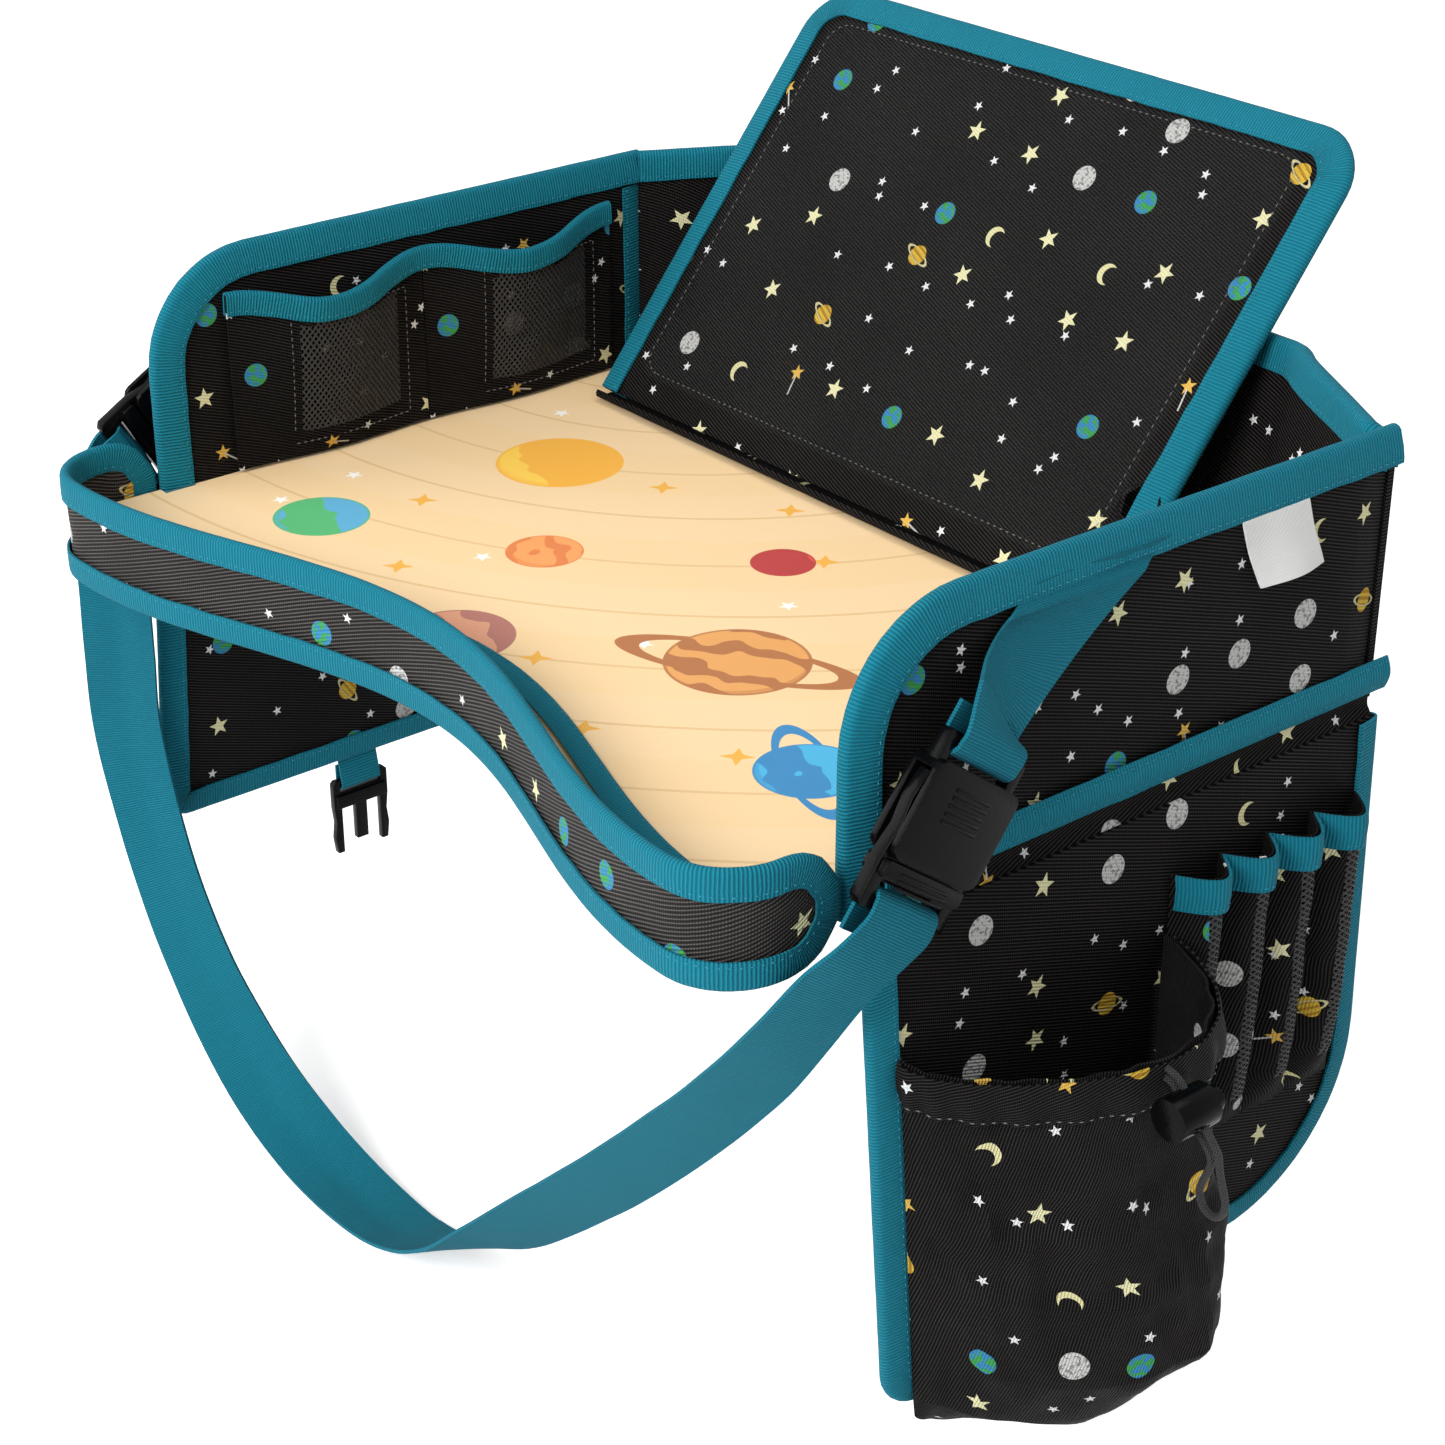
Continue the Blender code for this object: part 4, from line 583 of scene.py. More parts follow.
def newGroup(name, takes, gives):
    # takes: each input's name with its usual value, or with the word Vector or Color
    tree = bpy.data.node_groups.new(name, "ShaderNodeTree")
    for title, value in takes.items():
        kind = value if isinstance(value, str) else "Float"
        socket = tree.interface.new_socket(title, in_out="INPUT", socket_type="NodeSocket" + kind)
        if kind == "Float":
            socket.default_value = value
    for title in gives:
        kind = "Color" if title == "Color" else "Float"
        tree.interface.new_socket(title, in_out="OUTPUT", socket_type="NodeSocket" + kind)
    building["tree"] = tree
    return tree, tree.nodes.new("NodeGroupInput").outputs, tree.nodes.new("NodeGroupOutput").inputs


def placeGroup(group, **values):
    node = addNode("Group")
    node.node_tree = group
    for title, value in values.items():
        feed(node.inputs[title], value)
    return node.outputs


def ribGroup():
    # Ribbed tape and webbing: cords across the tape, a finer thread along it
    tree, given, sent = newGroup("tape ribs", {"Vector": "Vector", "Pitch": 0.0011, "Fine": 0.0005},
                                 ("Height", "Groove"))
    u, v = split(given["Vector"])
    sway = times(noiseOf(given["Vector"], 180.0), 0.0006)
    rib = ridges(plus(u, sway), given["Pitch"])
    feed(sent["Height"], scaled(ridges(v, given["Fine"]), 0.22, rib))
    feed(sent["Groove"], minus(1.0, rib))
    return tree


def oxfordGroup():
    # Coated oxford cloth: slanting ribs, with a basket of finer threads in them
    tree, given, sent = newGroup("oxford weave", {"Vector": "Vector", "Pitch": 0.0010},
                                 ("Height", "Thread"))
    u, v = split(given["Vector"])
    rib = ridges(scaled(u, 0.34, v), given["Pitch"])
    cross = ridges(u, given["Pitch"], 3.1 * math.pi)
    feed(sent["Height"], scaled(cross, 0.35, rib))
    # Thread marks the threads' tops, where the printed cloths paint their highlight
    feed(sent["Thread"], times(maths("POWER", rib, 3.0), scaled(cross, 0.7, 0.35)))
    return tree


def starGroup():
    # inner and edge are the cosine and sine that set how deep the star is cut between its points
    inner, edge = 0.3503, 0.9366
    tree, given, sent = newGroup("star shape", {"Vector": "Vector", "Reach": 0.004, "Points": 5.0},
                                 ("Mask",))
    x, y = split(given["Vector"])
    far = vectorMaths("LENGTH", given["Vector"])
    turn = over(maths("ARCTAN2", y, x), 2 * math.pi)
    sector = fraction(scaled(turn, given["Points"], 10.0))
    phi = over(times(sizeOf(minus(sector, 0.5)), 2 * math.pi), given["Points"])
    slope = plus(times(maths("COSINE", phi), inner), times(sine(phi), edge))
    feed(sent["Mask"], below(times(far, slope), times(given["Reach"], inner)))
    return tree


def starOf(star, vector, reach, points=5.0):
    return placeGroup(star, Vector=vector, Reach=reach, Points=points)["Mask"]


def discOf(vector, radius):
    return below(vectorMaths("LENGTH", vector), radius)


def ringOf(vector, radius):
    # A flat ring seen at a slant, which passes behind its planet
    x, y = split(vector)
    flat = addNode("CombineXYZ")
    feed(flat.inputs[0], x)
    feed(flat.inputs[1], over(y, 0.3))
    far = vectorMaths("LENGTH", flat.outputs[0])
    band = times(above(far, times(radius, 1.42)), below(far, times(radius, 1.78)))
    behind = times(discOf(vector, radius), above(y, 0.0))
    return times(band, minus(1.0, behind))


def scatter(vector, cellSize, spread):
    # One motif to a cell, each moved a little: the place seen from the motif's middle, and its dice
    dice = addNode("TexWhiteNoise")
    dice.noise_dimensions = "2D"
    feed(dice.inputs["Vector"], vectorMaths("FLOOR", vector))
    jitter = vectorMaths("MULTIPLY", vectorMaths("SUBTRACT", dice.outputs["Color"], (0.5, 0.5, 0.5)),
                         (spread, spread, 0))
    local = vectorMaths("SUBTRACT", vectorMaths("FRACTION", vector), (0.5, 0.5, 0))
    near = vectorMaths("SCALE", vectorMaths("SUBTRACT", local, jitter), cellSize)
    return vectorMaths("MULTIPLY", near, (1, 1, 0)), dice.outputs


printColour = {
    "white": (0.86, 0.87, 0.88), "cream": (0.86, 0.83, 0.50), "moon": (0.62, 0.62, 0.60),
    "crater": (0.28, 0.28, 0.28), "gold": (0.70, 0.47, 0.06), "band": (0.45, 0.24, 0.03),
    "ring": (0.66, 0.60, 0.33), "sea": (0.05, 0.26, 0.52), "land": (0.06, 0.36, 0.10),
    "crescent": (0.80, 0.76, 0.42), "orange": (0.80, 0.50, 0.10), "tail": (0.62, 0.62, 0.58),
}


def spacePrintGroup(star):
    # Small motifs scattered one to a cell: stars, cratered moons, ringed planets, globes, comets
    tree, given, sent = newGroup("space print", {"Vector": "Vector", "Cell": 0.026, "Shift": 0.0},
                                 ("Color", "Mask"))
    shrunk = vectorMaths("SCALE", given["Vector"], over(1.0, given["Cell"]))
    near, dice = scatter(vectorMaths("ADD", shrunk, given["Shift"]), given["Cell"], 0.46)
    channels = addNode("SeparateColor")
    feed(channels.inputs[0], dice["Color"])
    motif = turned(near, times(channels.outputs[2], 1.3))
    kind = dice["Value"]
    hue = printColour
    x, y = split(motif)
    spots = above(noiseOf(motif, 620.0, 1.0), 0.56)
    land = above(noiseOf(motif, 330.0, 1.0), 0.52)
    stripes = above(sine(times(y, 2600.0)), 0.2)
    tail = times(below(sizeOf(scaled(x, 0.25, y)), 0.00035), times(above(x, 0.001), below(x, 0.0095)))
    bitten = vectorMaths("ADD", motif, (-0.0019, -0.0008, 0))
    crescent = times(discOf(motif, 0.0044), minus(1.0, discOf(bitten, 0.0037)))
    # the dice's range for each motif, its shape and its colour
    motifs = (
        (0.0, 0.34, starOf(star, motif, 0.0023), hue["white"]),
        (0.34, 0.56, starOf(star, motif, 0.0046), hue["cream"]),
        (0.56, 0.68, discOf(motif, 0.0052), mixed(spots, hue["moon"], hue["crater"])),
        (0.68, 0.80, discOf(motif, 0.0043), mixed(stripes, hue["gold"], hue["band"])),
        (0.68, 0.80, ringOf(motif, 0.0043), hue["ring"]),
        (0.80, 0.88, discOf(motif, 0.0048), mixed(land, hue["sea"], hue["land"])),
        (0.88, 0.94, crescent, hue["crescent"]),
        (0.94, 1.01, starOf(star, motif, 0.0036), hue["orange"]),
        (0.94, 1.01, tail, hue["tail"]),
    )
    colour, mask = (0, 0, 0), 0.0
    for low, high, shape, tint in motifs:
        shown = times(times(above(kind, low), below(kind, high)), shape)
        colour = mixed(shown, colour, tint)
        mask = larger(mask, shown)
    feed(sent["Color"], colour)
    feed(sent["Mask"], mask)
    return tree


def planetGroup():
    # A plain planet for the play surface: a banded disc, a darker rim, and a ring where wanted
    tree, given, sent = newGroup(
        "printed planet",
        {"Vector": "Vector", "Below": "Color", "Place": "Vector", "Radius": 0.02, "Light": "Color",
         "Dark": "Color", "Bands": 200.0, "Ring": 0.0, "Tilt": 0.3}, ("Color",))
    radius, light, dark = given["Radius"], given["Light"], given["Dark"]
    moved = vectorMaths("MULTIPLY", vectorMaths("SUBTRACT", given["Vector"], given["Place"]), (1, 1, 0))
    here = turned(moved, given["Tilt"])
    y = split(here)[1]
    wavy = scaled(noiseOf(here, 55.0, 1.0), 0.03, y)
    stripe = above(sine(times(wavy, given["Bands"])), 0.15)
    disc = discOf(here, radius)
    rim = minus(disc, discOf(here, times(radius, 0.955)))
    lit = discOf(vectorMaths("ADD", here, (0.0022, -0.0028, 0)), radius)
    face = mixed(scaled(lit, -0.45, 0.45), mixed(stripe, light, dark), dark)
    face = mixed(times(rim, 0.8), face, dark)
    ring = times(ringOf(here, radius), given["Ring"])
    feed(sent["Color"], mixed(ring, mixed(disc, given["Below"], face), dark))
    return tree


def sparkleGroup(star):
    # Four pointed sparkles and small stars scattered on the play surface
    tree, given, sent = newGroup("printed sparkles",
                                 {"Vector": "Vector", "Below": "Color", "Cell": 0.05}, ("Color",))
    shrunk = vectorMaths("SCALE", given["Vector"], over(1.0, given["Cell"]))
    near, dice = scatter(shrunk, given["Cell"], 0.6)
    gold = times(starOf(star, near, 0.0062, 4.0), below(dice["Value"], 0.32))
    white = times(starOf(star, near, 0.0040), above(dice["Value"], 0.55))
    colour = mixed(gold, given["Below"], (0.90, 0.45, 0.05))
    feed(sent["Color"], mixed(white, colour, (1, 0.97, 0.90)))
    return tree


def netGroup():
    # Knitted net: two slanting families of threads
    tree, given, sent = newGroup("net threads", {"Vector": "Vector", "Pitch": 0.0024},
                                 ("Threads", "Height"))
    u, v = split(given["Vector"])
    ways = [sizeOf(minus(fraction(over(scaled(v, side * 0.75, u), given["Pitch"])), 0.5))
            for side in (1, -1)]
    nearest = smaller(*ways)
    feed(sent["Threads"], below(nearest, 0.17))
    feed(sent["Height"], minus(0.5, nearest))
    return tree


def newLook(name, colour, roughness, **values):
    # A Principled material. Plain numbers are set on the shader's own sockets
    made = bpy.data.materials.new(name)
    made.use_nodes = True
    made.diffuse_color = (*colour, 1)
    building["tree"] = made.node_tree
    sockets = made.node_tree.nodes["Principled BSDF"].inputs
    sockets["Base Color"].default_value = made.diffuse_color
    sockets["Roughness"].default_value = roughness
    for title, value in values.items():
        sockets[title.replace("_", " ")].default_value = value
    return made, sockets


def clothUv():
    node = addNode("UVMap")
    node.uv_map = "cloth"
    return node.outputs[0]


def objectPlace():
    return addNode("TexCoord").outputs["Object"]


def bumpInto(sockets, height, distance):
    node = addNode("Bump")
    node.inputs["Distance"].default_value = distance
    node.inputs["Strength"].default_value = 1.0
    feed(node.inputs["Height"], height)
    feed(sockets["Normal"], node.outputs[0])


def tapeLook(name, ribs, colour, grooveShade, pitch, fine, depth):
    made, sockets = newLook(name, colour, 0.72, Specular_IOR_Level=0.1, Sheen_Weight=0.02)
    place = clothUv()
    weave = placeGroup(ribs, Vector=place, Pitch=pitch, Fine=fine)
    patchy = scaled(noiseOf(place, 30.0, 3.0), 0.6, -0.15)
    worn = tuple(c * 0.78 for c in colour)
    # The grooves between the ribs are mixed towards a darker teal: painted shade in the grooves
    feed(sockets["Base Color"], mixed(times(weave["Groove"], 0.75), mixed(patchy, colour, worn), grooveShade))
    feed(sockets["Roughness"], scaled(weave["Groove"], 0.15, 0.66))
    bumpInto(sockets, weave["Height"], depth)
    return made


def printedClothLook(name, weaveGroup, printGroup, cell, shift, dark, lit, depth=0.00025, gloss=0.035,
                     pitch=0.0013, rough=0.68):
    made, sockets = newLook(name, dark, 0.6, Specular_IOR_Level=gloss)
    place = clothUv()
    white = printColour["white"]
    weave = placeGroup(weaveGroup, Vector=place, Pitch=pitch)
    marks = placeGroup(printGroup, Vector=place, Cell=cell, Shift=shift)
    small = placeGroup(printGroup, Vector=place, Cell=cell * 0.83, Shift=shift + 17.37)
    patchy = scaled(noiseOf(place, 16.0, 3.0), 0.9, 0.25)
    # The lit colour on the threads' tops is a painted highlight, as if light caught them; patchy makes it
    # stronger in some places than in others
    cloth = mixed(times(weave["Thread"], patchy), dark, lit)
    printed = mixed(marks["Mask"], cloth, marks["Color"])
    # Of the second scatter only the small white stars are kept, between the first one's motifs
    onlySmall = times(small["Mask"], minus(1.0, marks["Mask"]))
    other = vectorMaths("LENGTH", vectorMaths("SUBTRACT", small["Color"], white))
    printed = mixed(times(onlySmall, below(other, 0.02)), printed, white)
    # Between the threads a printed motif is darkened towards the dark colour: painted shade in the weave's
    # grooves
    feed(sockets["Base Color"], mixed(times(minus(1.0, weave["Thread"]), 0.22), printed, dark))
    feed(sockets["Roughness"], scaled(weave["Thread"], -0.14, rough))
    bumpInto(sockets, weave["Height"], depth)
    return made


def netLook(name, net):
    made, sockets = newLook(name, (0.012, 0.012, 0.013), 0.6, Specular_IOR_Level=0.15)
    weave = placeGroup(net, Vector=clothUv())
    # The threads are lighter towards their middles: a painted highlight on the black net
    feed(sockets["Base Color"], mixed(weave["Height"], (0.006, 0.006, 0.006), (0.095, 0.093, 0.092)))
    feed(sockets["Alpha"], weave["Threads"])
    bumpInto(sockets, weave["Height"], 0.0003)
    return made


def plasticLook(name):
    made, sockets = newLook(name, (0.004, 0.004, 0.0045), 0.2, Specular_IOR_Level=0.065)
    place = objectPlace()
    smudge = noiseOf(place, 45.0, 4.0)
    feed(sockets["Base Color"], mixed(smudge, (0.0012, 0.0012, 0.0014), (0.0035, 0.0035, 0.0040)))
    feed(sockets["Roughness"], scaled(smudge, 0.10, 0.14))
    bumpInto(sockets, noiseOf(place, 900.0, 3.0), 0.00006)
    return made


playPrint = {
    "beige": (0.92, 0.655, 0.35), "glow": (0.94, 0.70, 0.43), "line": (0.80, 0.54, 0.26),
    "orbitMiddle": (-0.215, 0.165, 0), "orbitStep": 0.047,
    "planets": (
        # x, y, radius, light colour, dark colour, bands, ring, tilt
        (-0.128, 0.045, 0.0260, (0.98, 0.62, 0.07), (0.94, 0.46, 0.04), 60, 0, 0.2),
        (-0.060, -0.012, 0.0150, (0.93, 0.36, 0.10), (0.78, 0.22, 0.05), 420, 0, 0.6),
        (0.005, 0.052, 0.0125, (0.70, 0.07, 0.05), (0.50, 0.03, 0.03), 120, 0, 0.1),
        (0.060, -0.015, 0.0265, (0.80, 0.37, 0.10), (0.46, 0.16, 0.04), 330, 1, -0.5),
        (-0.142, -0.060, 0.0190, (0.10, 0.42, 0.66), (0.08, 0.48, 0.17), 170, 0, 0.5),
        (-0.020, -0.080, 0.0215, (0.74, 0.34, 0.20), (0.46, 0.17, 0.13), 250, 0, 0.35),
        (0.138, -0.048, 0.0190, (0.05, 0.45, 0.74), (0.02, 0.24, 0.52), 190, 1, 0.45),
        (0.120, 0.040, 0.0150, (0.35, 0.28, 0.62), (0.22, 0.16, 0.45), 300, 0, 0.2),
        (0.176, 0.012, 0.0080, (0.94, 0.70, 0.30), (0.75, 0.48, 0.16), 500, 0, 0.9),
    ),
}


def printLook(name, planet, sparkle):
    # The play surface: warm beige, pale orbit arcs round one corner, plain planets, sparkles
    made, sockets = newLook(name, (0.93, 0.67, 0.37), 0.45, Specular_IOR_Level=0.06)
    place = objectPlace()
    far = vectorMaths("LENGTH", vectorMaths("MULTIPLY", vectorMaths(
        "SUBTRACT", place, playPrint["orbitMiddle"]), (1, 1.15, 0)))
    line = below(sizeOf(minus(fraction(over(far, playPrint["orbitStep"])), 0.5)), 0.018)
    glow = times(above(sine(times(far, 66.8)), 0.0), 0.35)
    colour = mixed(line, mixed(glow, playPrint["beige"], playPrint["glow"]), playPrint["line"])
    colour = placeGroup(sparkle, Vector=place, Below=colour)["Color"]
    for x, y, radius, light, dark, bands, ring, tilt in playPrint["planets"]:
        colour = placeGroup(planet, Vector=place, Below=colour, Place=(x, y, 0), Radius=radius,
                            Light=(*light, 1), Dark=(*dark, 1), Bands=bands, Ring=ring,
                            Tilt=tilt)["Color"]
    feed(sockets["Base Color"], colour)
    grain = noiseOf(place, 1400.0, 2.0)
    feed(sockets["Roughness"], scaled(grain, 0.1, 0.4))
    bumpInto(sockets, grain, 0.00006)
    return made


def filmLook(name, colour, alpha, gloss, rough):
    made, sockets = newLook(name, colour, 0.2, Alpha=alpha, Specular_IOR_Level=gloss)
    soft = noiseOf(objectPlace(), 25.0, 3.0)
    feed(sockets["Roughness"], scaled(soft, 0.14, rough))
    bumpInto(sockets, soft, 0.0003)
    return made


def plainLook(name, colour, other, roughness, scale, depth, **values):
    # Board, foam, steel and thread: two tones in a grain of the right scale
    made, sockets = newLook(name, colour, roughness, **values)
    grain = noiseOf(objectPlace(), scale, 4.0)
    feed(sockets["Base Color"], mixed(grain, colour, other))
    feed(sockets["Roughness"], scaled(grain, 0.2, roughness - 0.1))
    bumpInto(sockets, grain, depth)
    return made


def labelLook(name, ribs):
    made, sockets = newLook(name, (0.86, 0.86, 0.84), 0.7, Specular_IOR_Level=0.2)
    weave = placeGroup(ribs, Vector=clothUv(), Pitch=0.0006, Fine=0.0006)
    # Its grooves are mixed towards grey: painted shade between the ribs
    feed(sockets["Base Color"], mixed(weave["Groove"], (0.90, 0.90, 0.88), (0.62, 0.63, 0.62)))
    bumpInto(sockets, weave["Height"], 0.0001)
    return made


def cordLook(name):
    # A braid: two families of strands wound round the cord
    made, sockets = newLook(name, (0.012, 0.012, 0.013), 0.55, Specular_IOR_Level=0.2)
    u, v = split(clothUv())
    braid = larger(*[sine(times(scaled(v, side, u), 2 * math.pi / 0.0012)) for side in (1.0, -1.0)])
    # The strands are lighter on their crowns and dark between them: painted highlight and painted shade
    feed(sockets["Base Color"], mixed(scaled(braid, 0.5, 0.5), (0.004, 0.004, 0.004),
                                      (0.045, 0.045, 0.048)))
    bumpInto(sockets, braid, 0.0002)
    return made


looks = {}


def makeLooks():
    ribs, oxford, star = ribGroup(), oxfordGroup(), starGroup()
    space = spacePrintGroup(star)
    planet, sparkle, net = planetGroup(), sparkleGroup(star), netGroup()
    # Each printed cloth has its own dark colour; lit is a painted highlight on the tops of its threads
    dark, lit = (0.0022, 0.0020, 0.0021), (0.066, 0.060, 0.058)
    looks.update({
        # For each tape: its own colour, then a darker one for painted shade in its grooves
        "tape": tapeLook("binding tape", ribs, (0.0085, 0.225, 0.315), (0.0030, 0.095, 0.140),
                         0.0013, 0.0006, 0.00036),
        "webbing": tapeLook("webbing", ribs, (0.0090, 0.195, 0.275), (0.0035, 0.100, 0.148),
                            0.0010, 0.0011, 0.00030),
        "cloth": printedClothLook("printed oxford", oxford, space, 0.030, 0.0, dark, lit),
        "innerCloth": printedClothLook("printed oxford inside", oxford, space, 0.030, 5.3, dark, lit),
        "pouchCloth": printedClothLook("pouch cloth", oxford, space, 0.029, 23.7, dark,
                                       (0.072, 0.066, 0.064), 0.0003, gloss=0.045, pitch=0.0011,
                                       rough=0.60),
        "rimCloth": printedClothLook("rim twill", oxford, space, 0.036, 3.1, (0.0075, 0.0070, 0.0068),
                                     (0.200, 0.180, 0.168), gloss=0.12, pitch=0.0015),
        "net": netLook("black net", net),
        "plastic": plasticLook("black moulded plastic"),
        "print": printLook("play surface print", planet, sparkle),
        "film": filmLook("clear cover film", (0.95, 0.93, 0.90), 0.025, 0.3, 0.16),
        "windowFilm": filmLook("window film", (0.08, 0.09, 0.09), 0.03, 0.0, 0.45),
        "label": labelLook("woven label", ribs),
        "cord": cordLook("braided cord"),
        # two tones, roughness, grain's scale, bump's depth
        "teal": plainLook("teal thread", (0.010, 0.17, 0.25), (0.02, 0.30, 0.42), 0.6, 3000, 0.0001),
        "black": plainLook("grey thread", (0.10, 0.10, 0.10), (0.22, 0.22, 0.22), 0.6, 3000, 0.0001),
        "board": plainLook("stiffening board", (0.45, 0.44, 0.42), (0.34, 0.33, 0.31), 0.75, 900,
                           0.0001),
        "foam": plainLook("foam", (0.6, 0.6, 0.58), (0.42, 0.42, 0.40), 0.9, 1500, 0.0002),
        "steel": plainLook("spring steel", (0.62, 0.62, 0.62), (0.5, 0.5, 0.5), 0.3, 700, 0.00002,
                           Metallic=1.0),
    })
    print("materials:", len(looks))


def bellyY(x):
    share = min(abs(x) / (tray["halfWidth"] - tray["lobeRadius"]), 1)
    middle = tray["lobeY"] + tray["bellyCut"] / 2
    return middle + tray["bellyCut"] / 2 * math.cos(math.pi * share)


def frontEdge(inset, start):
    # The front edge in plan, from the right wall round the lobes and the belly to the left wall
    sidePoints, cornerSteps, frontSteps = 6, 10, 56
    lobe = tray["lobeRadius"]
    centre = Vector((tray["halfWidth"] - lobe, tray["lobeY"] + lobe))
    straight = start - centre[1]
    points = [Vector((tray["halfWidth"] - inset, start - straight * i / sidePoints))
              for i in range(sidePoints)]
    for i in range(cornerSteps + 1):
        angle = -math.pi / 2 * i / cornerSteps
        points.append(centre + Vector((math.cos(angle), math.sin(angle))) * (lobe - inset))
    nudge = centre[0] / frontSteps / 10
    for i in range(1, frontSteps // 2 + 1):
        x = centre[0] * (1 - 2 * i / frontSteps)
        inward = Vector((bellyY(x - nudge) - bellyY(x + nudge), 2 * nudge)).normalized()
        points.append(Vector((x, bellyY(x))) + inward * inset)
    return points + [Vector((-p[0], p[1])) for p in reversed(points[:-1])]


deck = {
    "lipInset": 0.0050, "coverInset": 0.018, "coverBinding": 0.009, "wallReach": 0.0001,
    # z is the height of each sheet's middle
    "under": {"z": 0.0006, "thickness": 0.0012, "cell": 0.02, "crown": 0.0, "ripple": 0.0002},
    "sheet": {"z": 0.0072, "thickness": 0.0006, "cell": 0.03, "crown": 0.0, "ripple": 0.0},
    "cover": {"z": 0.0081, "thickness": 0.0004, "cell": 0.02, "crown": 0.0001, "ripple": 0.0002,
              "scale": 30},
}


def addDeck():
    gap = tray["gap"]
    step = tray["wallFront"] - tray["proud"] - gap
    inner = tray["wallInner"] - tray["proud"] - gap
    rear = tray["rearY"] - back["thickness"] - gap
    lip = frontEdge(deck["lipInset"], step)
    # The sheets reach the walls' cloth, but for the places where a tape is folded round a wall
    wide = tray["wallInner"] - deck["wallReach"]
    turn = wall["leg"] + 2 * gap
    turns = tray["wallFront"] + turn, tray["rearY"] - turn
    outline = [(wide, rear), (wide, turns[0]), (inner, turns[0]), (inner, step)]
    outline += [tuple(p) for p in lip] + [(-inner, step), (-inner, turns[0]), (-wide, turns[0])]
    outline += [(-wide, turns[1]), (-inner, turns[1]), (-inner, rear)]
    frontX = lip[0][0] - deck["coverInset"] / 2
    edge = [Vector((x, bellyY(x) + deck["coverInset"])) for x in spread(frontX, -frontX, 60)]
    cover = [(inner, rear), (inner, edge[0][1])] + [tuple(p) for p in edge]
    cover += [(-inner, edge[-1][1]), (-inner, rear)]
    for name, shape, form, look, node in (
            ("deck_underside_cloth", outline, deck["under"], "innerCloth", "deck_underside_panel"),
            ("play_surface_print", outline, deck["sheet"], "print", "print_sheet"),
            ("clear_cover_film", cover, deck["cover"], "film", "clear_cover")):
        panelPiece(name, shape, Matrix.Translation((0, 0, form["z"])), form, look, "tray", [node])
    z = tray["deckTop"] + gap + 0.0004
    rows = []
    for p in edge:
        row = []
        for share in (0, 0.15, 0.5, 0.85, 1):
            lift = 0.0006 * math.sin(math.pi * share) ** 0.5 if 0 < share < 1 else 0
            row.append(Vector((p[0], p[1] + gap + (deck["coverBinding"] - gap) * share,
                               z + lift + ruffle((p[0], share, 0), 90, 0.0002))))
        rows.append(row)
    line = [Vector((p[0], p[1] + deck["coverBinding"] - 0.0012, z + 0.0009)) for p in edge]
    clothPiece("clear_cover_tape", rows, 0.0008, "tape", "tray", ["clear_cover_binding"])
    stitchLine("tray", line, upward)
    print("deck done")


rim = {"inset": 0.0020, "height": 0.040, "centre": 0.010, "thickness": 0.0020, "leg": 0.0095,
       "bulge": 0.0008}


def addRim():
    # The band is a long strip with round ends; its tape runs round the whole strip
    flat = frontEdge(rim["inset"], tray["wallFront"] - 2 * tray["proud"] - 2 * tray["gap"])
    path = evenly([Vector((p[0], p[1], 0)) for p in flat], 0.001)
    total = lengthOf(path)
    radius = rim["height"] / 2
    turns = [math.pi / 2 * i / 9 for i in range(1, 10)]
    ends = [radius * (1 - math.cos(a)) for a in turns]
    inner = spread(ends[-1], total - ends[-1], 130)[1:-1]
    stations = ends + inner + [total - s for s in reversed(ends)]
    lean = [-math.cos(a) for a in turns] + [0] * len(inner) + [math.cos(a) for a in turns[::-1]]
    rise = [math.sin(a) for a in turns] + [1] * len(inner) + [math.sin(a) for a in turns[::-1]]
    halves = [radius * r for r in rise]
    step = total / (len(path) - 1)
    spine = [path[min(int(round(s / step)), len(path) - 1)] for s in stations]
    along = tangentsOf(spine)
    normals = [upward.cross(t).normalized() for t in along]
    rows = []
    for point, half, normal in zip(spine, halves, normals):
        row = []
        for share in spread(-1, 1, 8):
            belly = rim["bulge"] * (1 - share * share) + ruffle((point.x, point.y, share), 40, 0.0007)
            row.append(point + upward * (rim["centre"] + half * share) - normal * belly)
        rows.append(row)
    clothPiece("rim_band_cloth", rows, rim["thickness"], "rimCloth", "tray", ["rim_band"])
    edge, outward = [], []
    for way in (1, -1):
        edge += [p + upward * (rim["centre"] + way * h) for p, h in zip(spine, halves)][::way]
        outward += [t * a + upward * b * way for t, a, b in zip(along, lean, rise)][::way]
    foldedTape("rim_tape", edge, outward, normals + normals[::-1], rim["thickness"] / 2 + tray["gap"],
               rim["leg"], "tray", ["rim_binding"], loop=True)
    print("rim done")


wall = {
    "leg": 0.0115, "taper": 0.0022, "cornerLap": 0.0045,
    "form": {"thickness": 0.008, "cell": 0.008, "crown": 0.0007, "ripple": 0.0012, "pinch": 0.0024,
             "scale": 20, "openFoot": True},
}


def addWall(side, name):
    x = side * (tray["halfWidth"] - tray["wallThickness"] / 2)
    front, rear, top, radius = tray["wallFront"], tray["rearY"], tray["wallTop"], tray["wallRadius"]
    outline = roundedOutline([(front, 0, 0), (front, top, radius), (rear, top, 0), (rear, 0, 0)])
    panelPiece(name + "_cloth", outline, upright(x), wall["form"], "cloth", "tray", [name + "_cover"])
    # The right wall's tape runs on over the back wall's end
    bound = roundedOutline([(front, 0, 0), (front, top, radius),
                            (rear + (wall["cornerLap"] if side > 0 else 0), top, 0)])
    outlineTape(name + "_tape", bound, x, tray["wallThickness"] / 2 + tray["gap"], wall["leg"], "tray",
                [name + "_binding"], wall["taper"])


